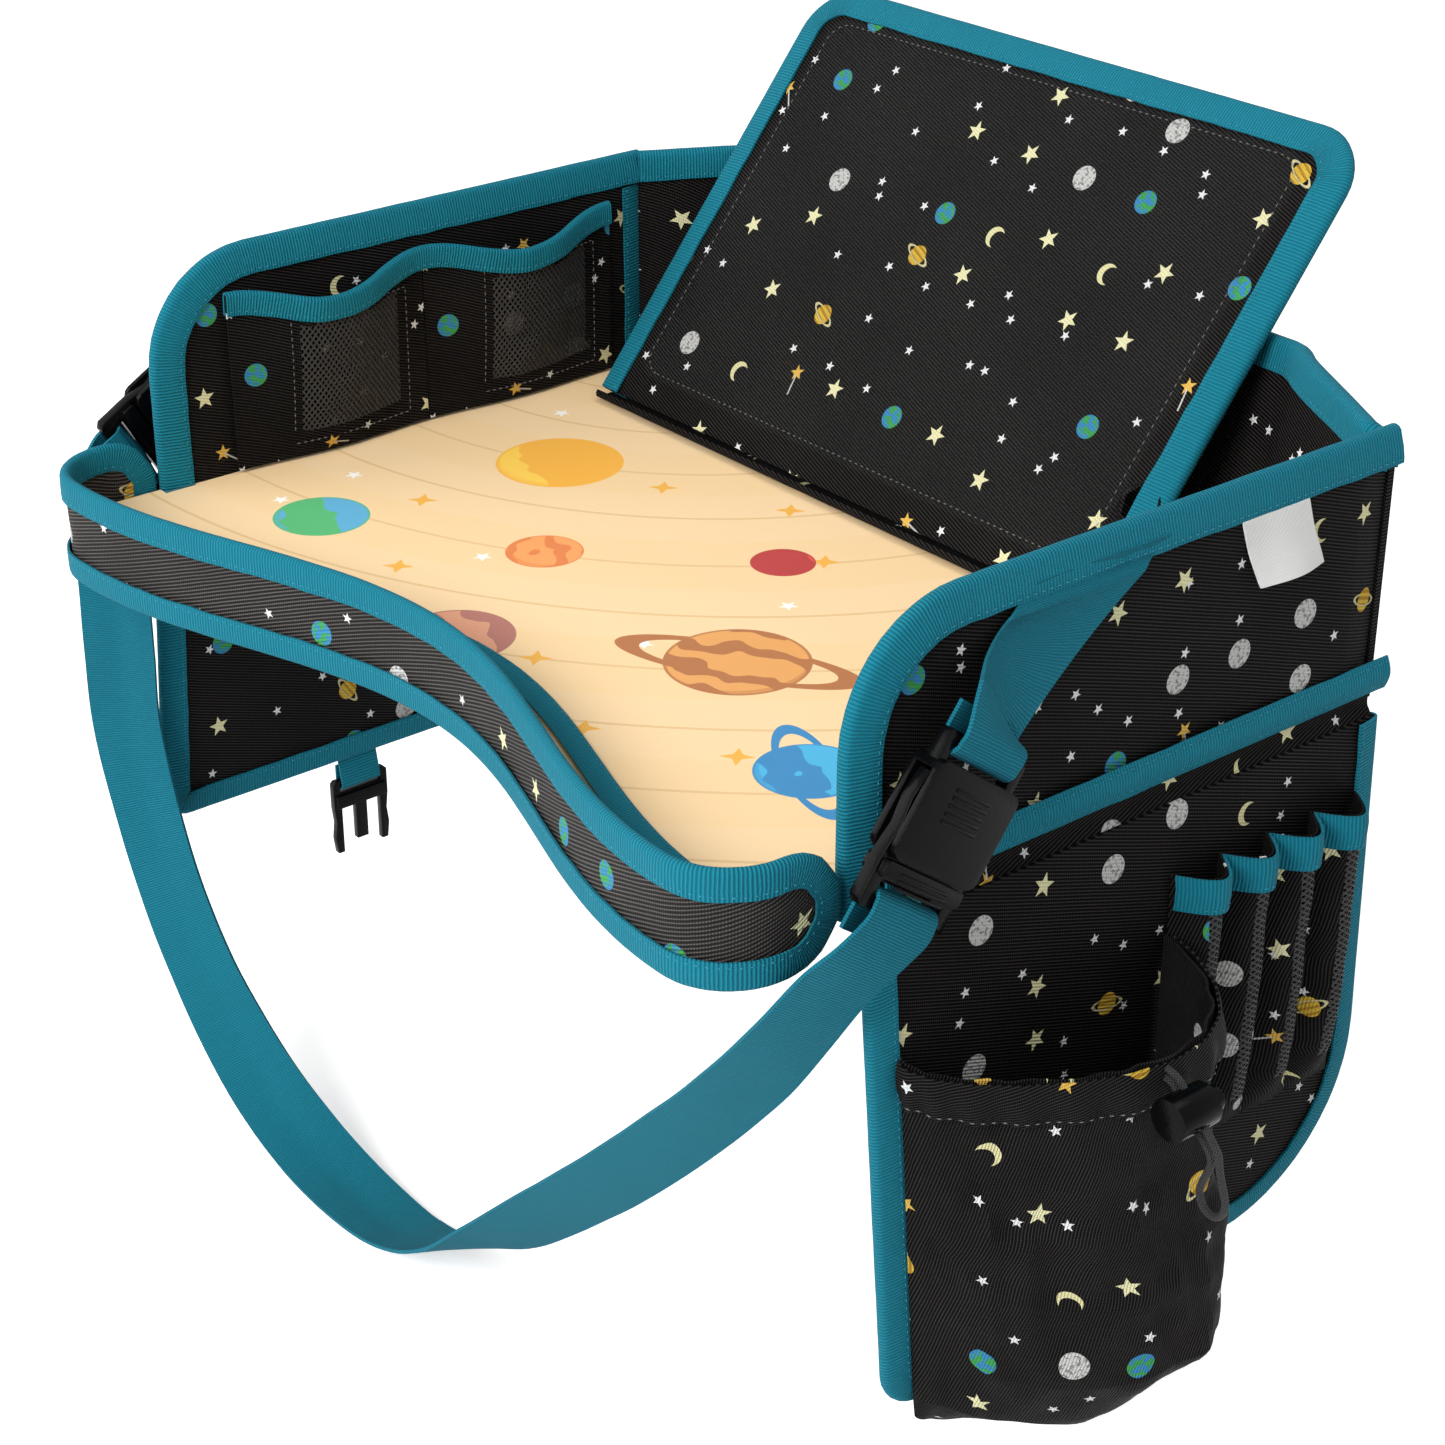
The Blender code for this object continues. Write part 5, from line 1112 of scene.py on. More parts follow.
def addCornerTape():
    x = -(tray["halfWidth"] - tray["wallThickness"] / 2)
    top = tray["wallTop"] - wall["leg"] - tray["gap"] - tray["tape"]
    edge = evenly([Vector((x, tray["rearY"], z)) for z in (top, 0)], tape["step"])
    foldedTape("corner_tape", edge, [rearward] * len(edge), [rightward] * len(edge),
               tray["wallThickness"] / 2 + tray["gap"], wall["leg"], "tray", ["corner_binding"],
               taper=wall["taper"])


back = {"leftRamp": 0.021, "rightRamp": 0.071, "riseShare": 0.85, "bow": 0.0405, "clearance": 0.0009,
        "thickness": 0.0030, "leftReach": 0.2040, "rightReach": 0.2085, "lap": 0.0034, "tuck": 0.0026}


def addBackWall():
    left, right = -back["leftReach"], back["rightReach"]
    foot = tray["rearY"] - back["thickness"] / 2
    rows = []
    for x in spread(left, right, 96):
        share = min((x - left) / back["leftRamp"], (tray["wallInner"] - x) / back["rightRamp"], 1)
        share = max(share, 0)
        share = share if share < 0.8 else 0.8 + 0.2 * math.sin(math.pi / 2 * min((share - 0.8) / 0.2, 1))
        # The right end laps round the side wall's rear edge
        lapped = min(max((x - tray["wallInner"] + 0.002) / 0.004, 0), 1)
        column = []
        for rise in spread(0, 1, 14):
            out = back["bow"] * share * rise ** back["riseShare"] + back["lap"] * lapped
            out += ruffle((x, rise * 0.1, 3), 26, 0.0028) * math.sin(math.pi * rise) * share
            column.append(Vector((x, foot + out, (tray["wallTop"] - back["tuck"] * lapped) * rise)))
        rows.append(column)
    clothPiece("back_wall_cloth", rows, back["thickness"], "cloth", "tray", ["back_wall"])
    edge = [row[-1] for row in rows]
    along = tangentsOf(edge)
    lean = [(row[-1] - row[-2]).normalized() for row in rows]
    normals = [n.cross(t).normalized() for n, t in zip(lean, along)]
    ups = [t.cross(n).normalized() for t, n in zip(along, normals)]
    ups = [u if u.z > 0 else -u for u in ups]
    foldedTape("back_wall_tape", edge, ups, normals, back["thickness"] / 2 + back["clearance"],
               wall["leg"], "tray", ["back_wall_binding"])
    print("walls done")


piping = {"height": 0.012, "centre": 0.0105, "overhang": 0.006, "puff": 0.0019, "sewn": (-0.30, 0.38)}


def addPiping(side, name, rear):
    x = side * (tray["halfWidth"] + 2 * tray["gap"] + seam["thickness"] + tray["tape"] / 2)
    ys = spread(tray["wallFront"] + wall["leg"] + tray["gap"], rear, 76)
    rows = []
    for y in ys:
        row = []
        for share in spread(0, 1, 6):
            puff = side * piping["puff"] * math.sin(math.pi * share)
            wave = ruffle((y, share, side), 60, 0.0003)
            row.append(Vector((x + puff + side * abs(wave), y,
                               piping["centre"] + piping["height"] * (share - 0.5) + wave)))
        rows.append(row)
    clothPiece(name + "_tape", rows, 0.0010, "tape", "tray", [name])
    for share in piping["sewn"]:
        line = [Vector((x + side * 0.0016, y, piping["centre"] + piping["height"] * share)) for y in ys]
        stitchLine("tray", line, rightward * side)


seam = {"thickness": 0.0008, "top": 0.0140, "front": {1: -0.0905, -1: -0.0935}, "rear": 0.1450,
        "coverFront": -0.0821, "coverRear": 0.1340}


def addSeam(side, name):
    # Cloth that is sewn behind the piping and runs down into the wing's top edge, as its hinge
    x = side * (tray["halfWidth"] + tray["gap"] + seam["thickness"] / 2)
    profile = [(x, seam["top"]), (x, 0.009), (x, 0.004), (x, 0.0005),
               (side * 0.2110, -0.0010), (side * 0.2120, -0.0024), (side * 0.2129, -0.0042),
               (side * wing["x"], -0.0065), (side * wing["x"], -0.0090)]
    rows = []
    for y in spread(seam["front"][side], seam["rear"], 60):
        # Past the piping's ends only its lower part is left, below the wall's tape
        covered = seam["coverFront"] < y < seam["coverRear"] or y > 0 < side
        highest = seam["top"] if covered else -0.0001
        rows.append([Vector((px + side * ruffle((y, pz, 6), 80, 0.0003), y, min(pz, highest - k * 0.0001)))
                     for k, (px, pz) in enumerate(profile)])
    made = clothPiece(name + "_cloth", rows, seam["thickness"], "cloth", None, [name])
    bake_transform(made)


stand = {
    "width": 0.298, "height": 0.199, "thickness": 0.0054, "foot": (-0.025, 0.099, 0.012), "tilt": 51,
    "radius": 0.022, "footGap": 0.0026, "leg": 0.0115, "taper": 0.0012,
    # the cable hole's place across and up the stand, and its radius
    "hole": (0.139, 0.045, 0.0075),
    "form": {"thickness": 0.0054, "cell": 0.0075, "crown": 0.0002, "ripple": 0.0005, "pinch": 0.0014,
             "scale": 17},
    # the window's width, height, middle above the foot and corner radius
    "window": (0.262, 0.172, 0.100, 0.010), "filmOut": 0.0016, "stripDepth": 0.017, "strip": 0.0008,
    "film": {"thickness": 0.0005, "cell": 0.012, "crown": 0.0003, "ripple": 0.0002, "scale": 24},
}
standUp = Vector((0, math.cos(math.radians(stand["tilt"])), math.sin(math.radians(stand["tilt"]))))
standNormal = Vector((0, -math.sin(math.radians(stand["tilt"])), math.cos(math.radians(stand["tilt"]))))


def addStand():
    half = stand["width"] / 2
    foot, top, radius = stand["footGap"], stand["height"], stand["radius"]
    origin = Vector(stand["foot"])
    placed = frameAt(origin - standNormal * stand["thickness"] / 2, rightward, standUp)
    outline = roundedOutline([(-half, foot, 0), (-half, top, radius), (half, top, radius), (half, foot, 0)])
    panelPiece("tablet_panel_cloth", outline, placed, stand["form"], "innerCloth", "tablet_stand",
               ["tablet_panel_cover"], holes=[stand["hole"]])
    edge = evenly([placed @ Vector((p[0], p[1], 0)) for p in outline], tape["step"])
    outward = [standNormal.cross(t) for t in tangentsOf(edge)]
    foldedTape("tablet_panel_tape", edge, outward, [standNormal] * len(edge),
               stand["thickness"] / 2 + tray["gap"], stand["leg"], "tablet_stand",
               ["tablet_panel_binding"], taper=stand["taper"])
    wide, high, middle, radius = stand["window"]
    low = middle - high / 2
    window = roundedOutline([(-wide / 2, low, radius), (-wide / 2, low + high, radius),
                             (wide / 2, low + high, radius), (wide / 2, low, radius)])
    filmPlace = frameAt(origin + standNormal * stand["filmOut"], rightward, standUp)
    panelPiece("tablet_window_film", window, filmPlace, stand["film"], "windowFilm", "tablet_stand",
               ["tablet_window"])
    inset = [filmPlace @ Vector((p[0] * 0.982, (p[1] - middle) * 0.972 + middle, 0.0007)) for p in window]
    stitchLine("tablet_stand", inset + inset[:1], standNormal, kind="black")
    addEyelet(placed)
    strip, reach, y = stand["strip"], stand["stripDepth"], origin.y
    flatZ = tray["deckTop"] + tray["gap"] + strip / 2
    profile = [(y + reach, flatZ), (y + reach * 0.6, flatZ), (y + reach / 3, flatZ),
               (y + 0.0015, flatZ + strip * 0.2), (y - strip * 0.8, flatZ + strip),
               (y - strip, origin.z - strip), (y, origin.z + strip / 2)]
    rows = []
    for i in range(61):
        x = origin.x - half + 2 * half * i / 60
        rows.append([Vector((x, py, pz + ruffle((x, k, 0), 70, 0.0001)))
                     for k, (py, pz) in enumerate(profile)])
    clothPiece("tablet_foot_strip", rows, strip, "innerCloth", "tray", ["tablet_hinge_strip"])
    print("tablet stand done")


def addEyelet(placed):
    # A moulded ring that lines the cable hole through the stand
    x, up, radius = stand["hole"]
    bpy.ops.mesh.primitive_torus_add(major_segments=40, minor_segments=10, major_radius=radius + 0.0012,
                                     minor_radius=0.0015)
    made = bpy.context.object
    made.name = "cable_hole_ring"
    bpy.ops.object.mode_set(mode="EDIT")
    bpy.ops.mesh.select_all(action="SELECT")
    bpy.ops.transform.resize(value=(1, 1, 2.1))
    bpy.ops.object.mode_set(mode="OBJECT")
    made.data.transform(placed @ Matrix.Translation((x, up, 0)))
    made.data.shade_smooth()
    made.data.materials.append(looks["plastic"])
    settle(made, "tablet_stand")


def addWing(side, name):
    depth, frontRadius, rearRadius = wing["lower"][side]
    top, rear, slant = wing["top"], wing["rearY"], wing["rearSlant"]
    outline = roundedOutline([
        (wingFront(side, top), top, 0), (wingFront(side, -depth), -depth, frontRadius),
        (rear + slant, -depth, rearRadius), (rear + slant * -top / depth, top, 0),
    ], 12)
    panelPiece(name + "_cloth", outline, upright(side * wing["x"]), wing["form"], "cloth", name,
               [name + "_cover"])
    outlineTape(name + "_tape", outline, side * wing["x"], wing["form"]["thickness"] / 2 + tray["gap"],
                wing["leg"], name, [name + "_binding"], wing["taper"])


def addPouch():
    rows = []
    for drop in spread(0, 1, 44):
        z = pouch["mouth"] - (pouch["mouth"] - pouch["bottom"]) * drop
        loose = math.sin(math.pi * min(drop, 0.97)) ** 0.5
        row = []
        for turn in spread(-math.pi / 2, math.pi / 2, 60):
            out = Vector((math.cos(turn), math.sin(turn) * 0.6, 0)).normalized()
            free = math.cos(turn) ** 0.5 if abs(math.cos(turn)) > 1e-6 else 0
            gathers = 0.0009 * math.cos(turn * 21 + 2 * noise.noise((turn * 3, 0, 0)))
            gathers *= math.exp(-drop / 0.10)
            folds = ruffle((turn * 0.05, drop * 0.04, 5), 42, 0.0075) * loose
            creases = ruffle((turn * 0.06, drop * 0.12, 9), 95, 0.0032) * loose
            for high, start, drift, wide in pouch["creases"]:
                creases += high * max(0, 1 - abs(turn - start - drift * drop) / wide) * loose
            lift = pouch["rearLift"] * max(0, math.sin(turn)) * drop ** 3
            tip = pouch["tip"] * math.exp(-((turn + 0.35) / 0.55) ** 2) * drop ** 4
            row.append(pouchPoint(turn, z) + upward * (lift - tip)
                       + out * free * (gathers + folds + creases - 0.0008))
        rows.append(row)
    clothPiece("bottle_pouch_cloth", rows, pouch["thickness"], "pouchCloth", "right_wing",
               ["bottle_pouch"])
    hem, line = [], []
    for turn in spread(-math.pi / 2, math.pi / 2, 96)[1:-1]:
        column = []
        for share in spread(0, 1, 8):
            roll = pouch["hemRoll"] * math.sin(math.pi * share)
            gathers = 0.0010 * math.cos(turn * 23) * (0.2 + share)
            column.append(pouchPoint(turn, pouch["mouth"] - pouch["hem"] * share,
                                     pouch["hemOut"] + roll + gathers))
        hem.append(column)
        line.append(pouchPoint(turn, pouch["mouth"] - pouch["stitch"],
                               pouch["hemOut"] + 0.0016 + 0.0007 * math.cos(turn * 23)))
    clothPiece("pouch_hem_cloth", hem, pouch["hemThickness"], "pouchCloth", "right_wing", ["pouch_hem"])
    stitchLine("right_wing", line, rightward, 0.0036, "black")
    print("pouch done")


slots = {"count": 4, "front": 0.0441, "rear": 0.1365, "top": -0.030, "bottom": -0.146,
         "baseX": 0.2164, "bulge": 0.0120, "drops": (0.0, 0.5, 0.85, 1.0),
         "bulges": (1.0, 0.95, 0.75, 0.04), "elastic": 0.013, "netHalf": 0.13, "netFoot": 0.014}


def addMarkerSlots():
    pitch = (slots["rear"] - slots["front"]) / slots["count"]
    ys = spread(slots["front"], slots["rear"], slots["count"] * 16)
    waves = [abs(math.sin(math.pi * (y - slots["front"]) / pitch)) for y in ys]
    rows = []
    for drop in spread(0, 1, 30):
        bulge = slots["bulge"] * valueAt(slots["drops"], slots["bulges"], drop)
        z = slots["top"] - (slots["top"] - slots["bottom"]) * drop
        rows.append([Vector((slots["baseX"] + bulge * wave + ruffle((y, z, 2), 60, 0.0012) * wave, y, z))
                     for y, wave in zip(ys, waves)])
    made = clothPiece("marker_slots_cloth", rows, 0.0007, "cloth net", "right_wing", ["marker_pocket"])
    low, high = slots["bottom"] + slots["netFoot"], slots["top"] - slots["elastic"]
    for face in made.data.polygons:
        phase = ((face.center.y - slots["front"]) / pitch) % 1
        netted = abs(phase - 0.5) < slots["netHalf"] and low < face.center.z < high
        face.material_index = 1 if netted else 0
    band, line = [], []
    for y, wave in zip(ys, waves):
        x = slots["baseX"] + 0.0020 + slots["bulge"] * wave
        band.append([Vector((x + 0.0005 * math.sin(math.pi * share) + ruffle((y, share, 1), 120, 0.0003), y,
                             slots["top"] + tray["gap"] - slots["elastic"] * share))
                     for share in (0, 0.12, 0.35, 0.65, 0.88, 1)])
        line.append(Vector((x + 0.0008, y, slots["top"] - slots["elastic"] + 0.0018)))
    clothPiece("marker_elastic_tape", band, 0.0010, "tape", "right_wing", ["marker_elastic"])
    stitchLine("right_wing", line, rightward, 0.003)
    for i in range(1, slots["count"]):
        y = slots["front"] + pitch * i
        sewn = [Vector((slots["baseX"] + 0.0006, y, slots["top"] - 0.016 - 0.1 * k / 20)) for k in range(21)]
        stitchLine("right_wing", sewn, rightward, 0.003, "black")
    print("marker slots done")


pockets = {
    "front": -0.063, "seam": 0.02912, "rear": 0.125, "top": 0.083, "dip": 0.0080, "bulge": 0.0095,
    "thickness": 0.0008, "leg": 0.0085,
    # the net window's shares of a pocket's width and height, and the corners of its sewn line
    "net": (0.30, 0.86, 0.16, 0.88),
    "sewn": ((0.27, 0.10), (0.89, 0.10), (0.89, 0.92), (0.27, 0.92), (0.27, 0.10)),
}


def pocketWave(y):
    start, end = ("front", "seam") if y < pockets["seam"] else ("seam", "rear")
    share = (y - pockets[start]) / (pockets[end] - pockets[start])
    return math.sin(math.pi * min(max(share, 0), 1)) ** 2


def pocketX(y, rise):
    base = -tray["wallInner"] + 2 * tray["gap"] + pockets["thickness"] + tray["proud"]
    return base + pockets["bulge"] * pocketWave(y) * math.sin(math.pi / 2 * min(rise + 0.2, 1))


def addPockets():
    baseZ = tray["deckTop"] + 2 * tray["gap"]
    lowTop = pockets["top"] - pockets["dip"]
    left, right, low, high = pockets["net"]
    edge = []
    for name, start, end in (("left_pocket_front", pockets["front"], pockets["seam"] - tray["gap"]),
                             ("left_pocket_rear", pockets["seam"] + tray["gap"], pockets["rear"])):
        rows = []
        for y in spread(start, end, 32):
            top = pockets["top"] - pockets["dip"] * pocketWave(y)
            rows.append([Vector((pocketX(y, k / 18) + abs(ruffle((y, k / 180, 4), 48, 0.0022))
                                 * pocketWave(y), y, baseZ + (top - baseZ) * k / 18)) for k in range(19)])
        made = clothPiece(name + "_cloth", rows, pockets["thickness"], "innerCloth net", "tray", [name])
        for face in made.data.polygons:
            share = (face.center.y - start) / (end - start)
            rise = (face.center.z - baseZ) / (lowTop - baseZ)
            face.material_index = 1 if left < share < right and low < rise < high else 0
        edge += [row[-1] for row in rows]
        # The sewn line round the net window
        line = []
        for (a, b), (c, d) in zip(pockets["sewn"], pockets["sewn"][1:]):
            for k in range(12):
                share, rise = a + (c - a) * k / 12, b + (d - b) * k / 12
                y = start + (end - start) * share
                line.append(Vector((pocketX(y, rise) + 0.0017, y, baseZ + (lowTop - baseZ) * rise)))
        stitchLine("tray", line, rightward, 0.003, "black")
    middle = len(edge) // 2
    edge[middle - 1] = (edge[middle - 1] + edge[middle]) / 2
    del edge[middle]
    along = tangentsOf(edge)
    normals = [t.cross(upward).normalized() for t in along]
    outward = [n.cross(t).normalized() for n, t in zip(normals, along)]
    foldedTape("left_pocket_tape", edge, outward, normals, pockets["thickness"] / 2 + 2 * tray["gap"],
               pockets["leg"], "tray", ["left_pocket_binding"])
    print("pockets done")


strap = {
    "width": 0.030, "thickness": 0.0014, "fold": 0.074, "bar": 0.0029, "half": 0.00383, "reach": 0.006,
    "buckle": 0.059, "offset": 0.0155, "rightTop": (-0.0545, 0.0550), "rightSlope": (-0.6, -0.8),
    "leftTop": (-0.0490, 0.0440), "leftSlope": (-0.86, -0.51), "sewnY": 0.019, "lift": 0.008,
    # how far below its sewn end and into the wall it lies, where it comes out from under the tape
    "tucked": ((0.0060, 0.0024), (0.0090, 0.0023), (0.0112, 0.0018), (0.0125, 0.0008), (0.0138, 0.0)),
}
# The carry strap's hanging route: points of its middle, and the ways in which its width lies
strapRoute = (
    ((-0.2240, -0.1125, 0.0020), (0.05, 0.62, -0.78)),
    ((-0.2195, -0.1150, -0.0120), (0.35, 0.75, -0.55)),
    ((-0.2140, -0.1160, -0.0320), (0.70, 0.66, -0.25)),
    ((-0.2135, -0.1165, -0.0620), (0.76, 0.65, 0.0)),
    ((-0.2135, -0.1165, -0.0950), (0.78, 0.62, 0.10)),
    ((-0.2030, -0.1160, -0.1330), (0.74, 0.58, 0.32)),
    ((-0.1870, -0.1160, -0.1660), (0.70, 0.56, 0.43)),
    ((-0.1620, -0.1160, -0.1970), (0.60, 0.62, 0.50)),
    ((-0.1270, -0.1160, -0.2230), (0.35, 0.78, 0.50)),
    ((-0.0920, -0.1155, -0.2370), (0.12, 0.91, 0.38)),
    ((-0.0570, -0.1150, -0.2430), (0.0, 0.98, 0.17)),
    ((-0.0200, -0.1150, -0.2410), (0.02, 1.0, -0.08)),
    ((0.0130, -0.1150, -0.2280), (0.16, 0.95, -0.26)),
    ((0.0450, -0.1150, -0.2040), (0.40, 0.80, -0.43)),
    ((0.0780, -0.1150, -0.1740), (0.49, 0.71, -0.50)),
    ((0.1200, -0.1150, -0.1340), (0.50, 0.70, -0.51)),
    ((0.1620, -0.1150, -0.0900), (0.45, 0.75, -0.48)),
    ((0.1890, -0.1150, -0.0590), (0.36, 0.81, -0.46)),
    ((0.2090, -0.1140, -0.0320), (0.20, 0.85, -0.48)),
    ((0.2210, -0.1085, -0.0120), (0.08, 0.82, -0.57)),
    ((0.2270, -0.1010, -0.0020), (0.0, 0.80, -0.60)),
)


def wrapBar(bar, toward, normal, across, tail, half, reach):
    found = [(bar - toward * reach + normal * half, across)]
    for i in range(7):
        angle = math.pi / 2 - math.pi * i / 6
        found.append((bar + toward * half * math.cos(angle) + normal * half * math.sin(angle), across))
    found.append((bar - toward * tail - normal * half, across))
    return found


def webbingPiece(name, stations, width, thickness, look, body, nodes=(), crease=0.0):
    # Webbing is flat with firm edges; crease folds it a little along its middle
    rows = []
    travelled = 0.0
    last = stations[0][0]
    along = tangentsOf([p for p, _ in stations])
    for (point, across), forward in zip(stations, along):
        travelled += (point - last).length
        last = point
        normal = across.cross(forward).normalized()
        row = []
        for share in spread(-1, 1, 8):
            lift = crease * (1 - abs(share)) + ruffle((travelled, share * 0.02, 7), 38, 0.0004)
            row.append(point + across * width / 2 * share + normal * lift)
        rows.append(row)
    return clothPiece(name, rows, thickness, look, body, nodes)


def buckleFrame(side, name):
    # The way down a buckle, the way out of its wall, and the middle of its top
    down = Vector((0, *strap[name + "Slope"])).normalized()
    top = Vector((side * (tray["halfWidth"] + strap["offset"]), *strap[name + "Top"]))
    return down, rightward * side, top


def addStrap():
    wraps = {}
    size = 2 * strap["reach"], strap["half"], strap["reach"]
    for side, name in ((1, "right"), (-1, "left")):
        down, normal, top = buckleFrame(side, name)
        width = Vector((0, -down[2], down[1]))
        wrap = wrapBar(top + down * strap["bar"], down, normal, width, *size)
        face = side * (tray["halfWidth"] + tray["proud"] + tray["gap"] + strap["thickness"] / 2)
        sewn = Vector((face, strap["sewnY"], tray["wallTop"] - tray["gap"]))
        lean = (sewn - Vector((face, *strap[name + "Top"]))).normalized()
        flat = (sewn - lean * strap["fold"] + normal * strap["lift"], Vector((0, lean[2], -lean[1])))
        # Its end under the wall's tape is cut level
        level = Vector((0, 1 / lean[2], 0))
        stations = [(sewn - lean * drop / lean[2] - normal * inward, level)
                    for drop, inward in strap["tucked"]]
        hang = stations[-1][0] - lean * 0.001
        for i in range(14):
            share = i / 14
            lifted = hang.lerp(flat[0], share) - normal * strap["lift"] * (share - share * share)
            stations.append((lifted, level.lerp(flat[1], share)))
        webbingPiece(name + "_anchor_webbing", stations + smoothRoute([flat] + wrap, 5), strap["width"],
                     strap["thickness"], "webbing", "tray", [name + "_anchor_strap"])
        wraps[name] = wrapBar(top + down * strap["buckle"] - down * strap["bar"], -down, normal, width,
                              *size)
    route = smoothRoute(wraps["left"][::-1] + list(strapRoute) + wraps["right"], 6)
    middle = min(range(len(route)), key=lambda i: (route[i][0] - Vector(strapRoute[11][0])).length)
    # The strap's two halves meet where it hangs lowest
    made = webbingPiece("carry_strap_left", route[:middle + 1], strap["width"], strap["thickness"],
                        "webbing", None, ["carry_strap"], 0.0018)
    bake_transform(made)
    made = webbingPiece("carry_strap_right", route[middle:], strap["width"], strap["thickness"],
                        "webbing", None, (), 0.0004)
    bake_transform(made)
    print("straps done")


def mergeFlats(work):
    bmesh.ops.remove_doubles(work, verts=work.verts, dist=1e-5)
    bmesh.ops.dissolve_limit(work, angle_limit=math.radians(1), verts=work.verts, edges=work.edges)


def softened(name, node, body, edge):
    # A moulded piece: the CAD solid's own shape, merged, with its edges rounded
    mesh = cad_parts[node].data.copy()
    mesh.name = name
    mesh.transform(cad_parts[node].matrix_world)
    made = painted(name, mesh, "plastic")
    reworked(mesh, mergeFlats)
    bevel = made.modifiers.new("rounded edges", "BEVEL")
    bevel.width = edge
    bevel.segments = 3
    bevel.limit_method = "ANGLE"
    bevel.angle_limit = math.radians(35)
    bevel.harden_normals = False
    applyAll(made)
    made.select_set(True)
    bpy.ops.object.shade_smooth_by_angle(angle=math.radians(40))
    made.select_set(False)
    settle(made, body, [node])


hardware = {
    "edge": 0.0007, "smallEdge": 0.0004,
    # grip ribs: how many, the first one's place and their step down the buckle, how far out, size
    "housing": (5, 0.0155, 0.0026, 0.0058, (0.017, 0.0013, 0.0011)),
    "plug": (3, 0.0455, 0.0022, 0.0048, (0.024, 0.0011, 0.0010)),
}


def ribBar(size):
    # One moulded grip rib: a bar with its ends and top rounded
    bpy.ops.mesh.primitive_cube_add(size=1)
    made = bpy.context.object
    bpy.ops.object.mode_set(mode="EDIT")
    bpy.ops.mesh.select_all(action="SELECT")
    bpy.ops.transform.resize(value=size)
    bpy.ops.mesh.bevel(offset=min(size[1:]) * 0.4, segments=3, affect="EDGES")
    bpy.ops.object.mode_set(mode="OBJECT")
    made.data.shade_smooth()
    return made


def addRibs(name, body, kind, side, buckle):
    # Ribs are modelled once and copied to their places as one piece
    down, normal, top = buckleFrame(side, buckle)
    count, start, step, out, size = hardware[kind]
    first = ribBar(size)
    ribs = bmesh.new()
    for k in range(count):
        one = first.data.copy()
        one.transform(frameAt(top + down * (start + step * k) + normal * out, down.cross(normal), down))
        ribs.from_mesh(one)
        bpy.data.meshes.remove(one)
    mesh = bpy.data.meshes.new(name)
    ribs.to_mesh(mesh)
    ribs.free()
    bpy.data.objects.remove(first, do_unlink=True)
    pieceOf(name, mesh, "plastic", body)


def addBuckles():
    for side, name in ((1, "right"), (-1, "left")):
        softened(name + "_buckle_housing", name + "_buckle_socket", "tray", hardware["edge"])
        softened(name + "_buckle_prongs", name + "_buckle_plug", name + "_plug", hardware["edge"])
        addRibs(name + "_buckle_grips", "tray", "housing", side, name)
        addRibs(name + "_plug_grips", name + "_plug", "plug", side, name)
    softened("left_clip_prongs", "left_clip_plug", "left_clip", hardware["smallEdge"])
    softened("right_clip_housing", "right_clip_socket", "right_clip", hardware["smallEdge"])
    print("buckles done")


clip = {"width": 0.0195, "thickness": 0.0010, "tab": 0.0110, "y": -0.008, "leftZ": -0.14475,
        "rightZ": -0.105, "half": 0.00231, "overBar": 0.0031, "mateDepth": 0.0085}


def addClipTabs():
    def spot(x, z):
        return Vector((x, clip["y"], z)), rearward

    def wrapped(x, z):
        bar = Vector((x, clip["y"], z - clip["tab"]))
        return wrapBar(bar, -upward, -rightward, rearward, 0.0, clip["half"], 0.0)[1:-1]

    face = wing["x"] - wing["form"]["thickness"] / 2
    sewnX = face - 0.0008
    leftTurn = wrapped(-wing["x"], clip["leftZ"])
    rightTurn = wrapped(face - clip["mateDepth"], clip["rightZ"])
    overBar = clip["rightZ"] - clip["tab"] + clip["overBar"]
    left = [spot(leftTurn[0][0][0], clip["leftZ"] - 0.003), *leftTurn,
            spot(-wing["x"], clip["leftZ"] + 0.0002)]
    right = [spot(rightTurn[0][0][0], overBar), *rightTurn, spot(rightTurn[-1][0][0], overBar),
             spot(sewnX, clip["rightZ"]), spot(sewnX, clip["rightZ"] + 0.010)]
    for name, stations in (("left_clip", left), ("right_clip", right)):
        webbingPiece(name + "_webbing", smoothRoute(stations, 4), clip["width"], clip["thickness"], "tape",
                     name, [name + "_tab"])


def addCordLock():
    softened("cord_lock_barrel", "cord_lock", "cord_lock", hardware["smallEdge"])
    softened("cord_lock_press", "cord_lock_button", "cord_lock_button", hardware["smallEdge"])
    print("cord lock done")


label = {"width": 0.032, "height": 0.0240, "y": 0.087, "top": 0.0885, "curl": 0.0056, "slant": 0.30,
         "out": 0.0011}


def addLabel():
    x = tray["halfWidth"] + label["out"]
    rows = []
    for i in range(25):
        y = label["y"] - label["width"] / 2 + label["width"] * i / 24
        row = []
        for share in spread(0, 1, 12):
            curl = label["curl"] * share ** 2 * (0.4 + 0.6 * math.sin(math.pi * (i / 24 * 0.8 + 0.2)))
            sway = label["slant"] * label["height"] * share
            row.append(Vector((x + curl + ruffle((y, share * 0.03, 8), 60, 0.0008), y + sway,
                               label["top"] - label["height"] * share)))
        rows.append(row)
    clothPiece("blank_label", rows, 0.0008, "label", "tray", ["label_tab"])


# The stiffeners, the foam and the spring keep their CAD form
kept = {
    "board": ("deck_board", "left_wall_board", "right_wall_board", "left_wing_board", "right_wing_board",
              "tablet_panel_board"),
    "foam": ("deck_foam",), "steel": ("cord_lock_spring",),
}


def paintKept():
    for look, names in kept.items():
        for name in names:
            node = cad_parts[name]
            if not node.material_slots:
                node.data.materials.append(looks[look])
            for place in node.material_slots:
                place.material = looks[look]


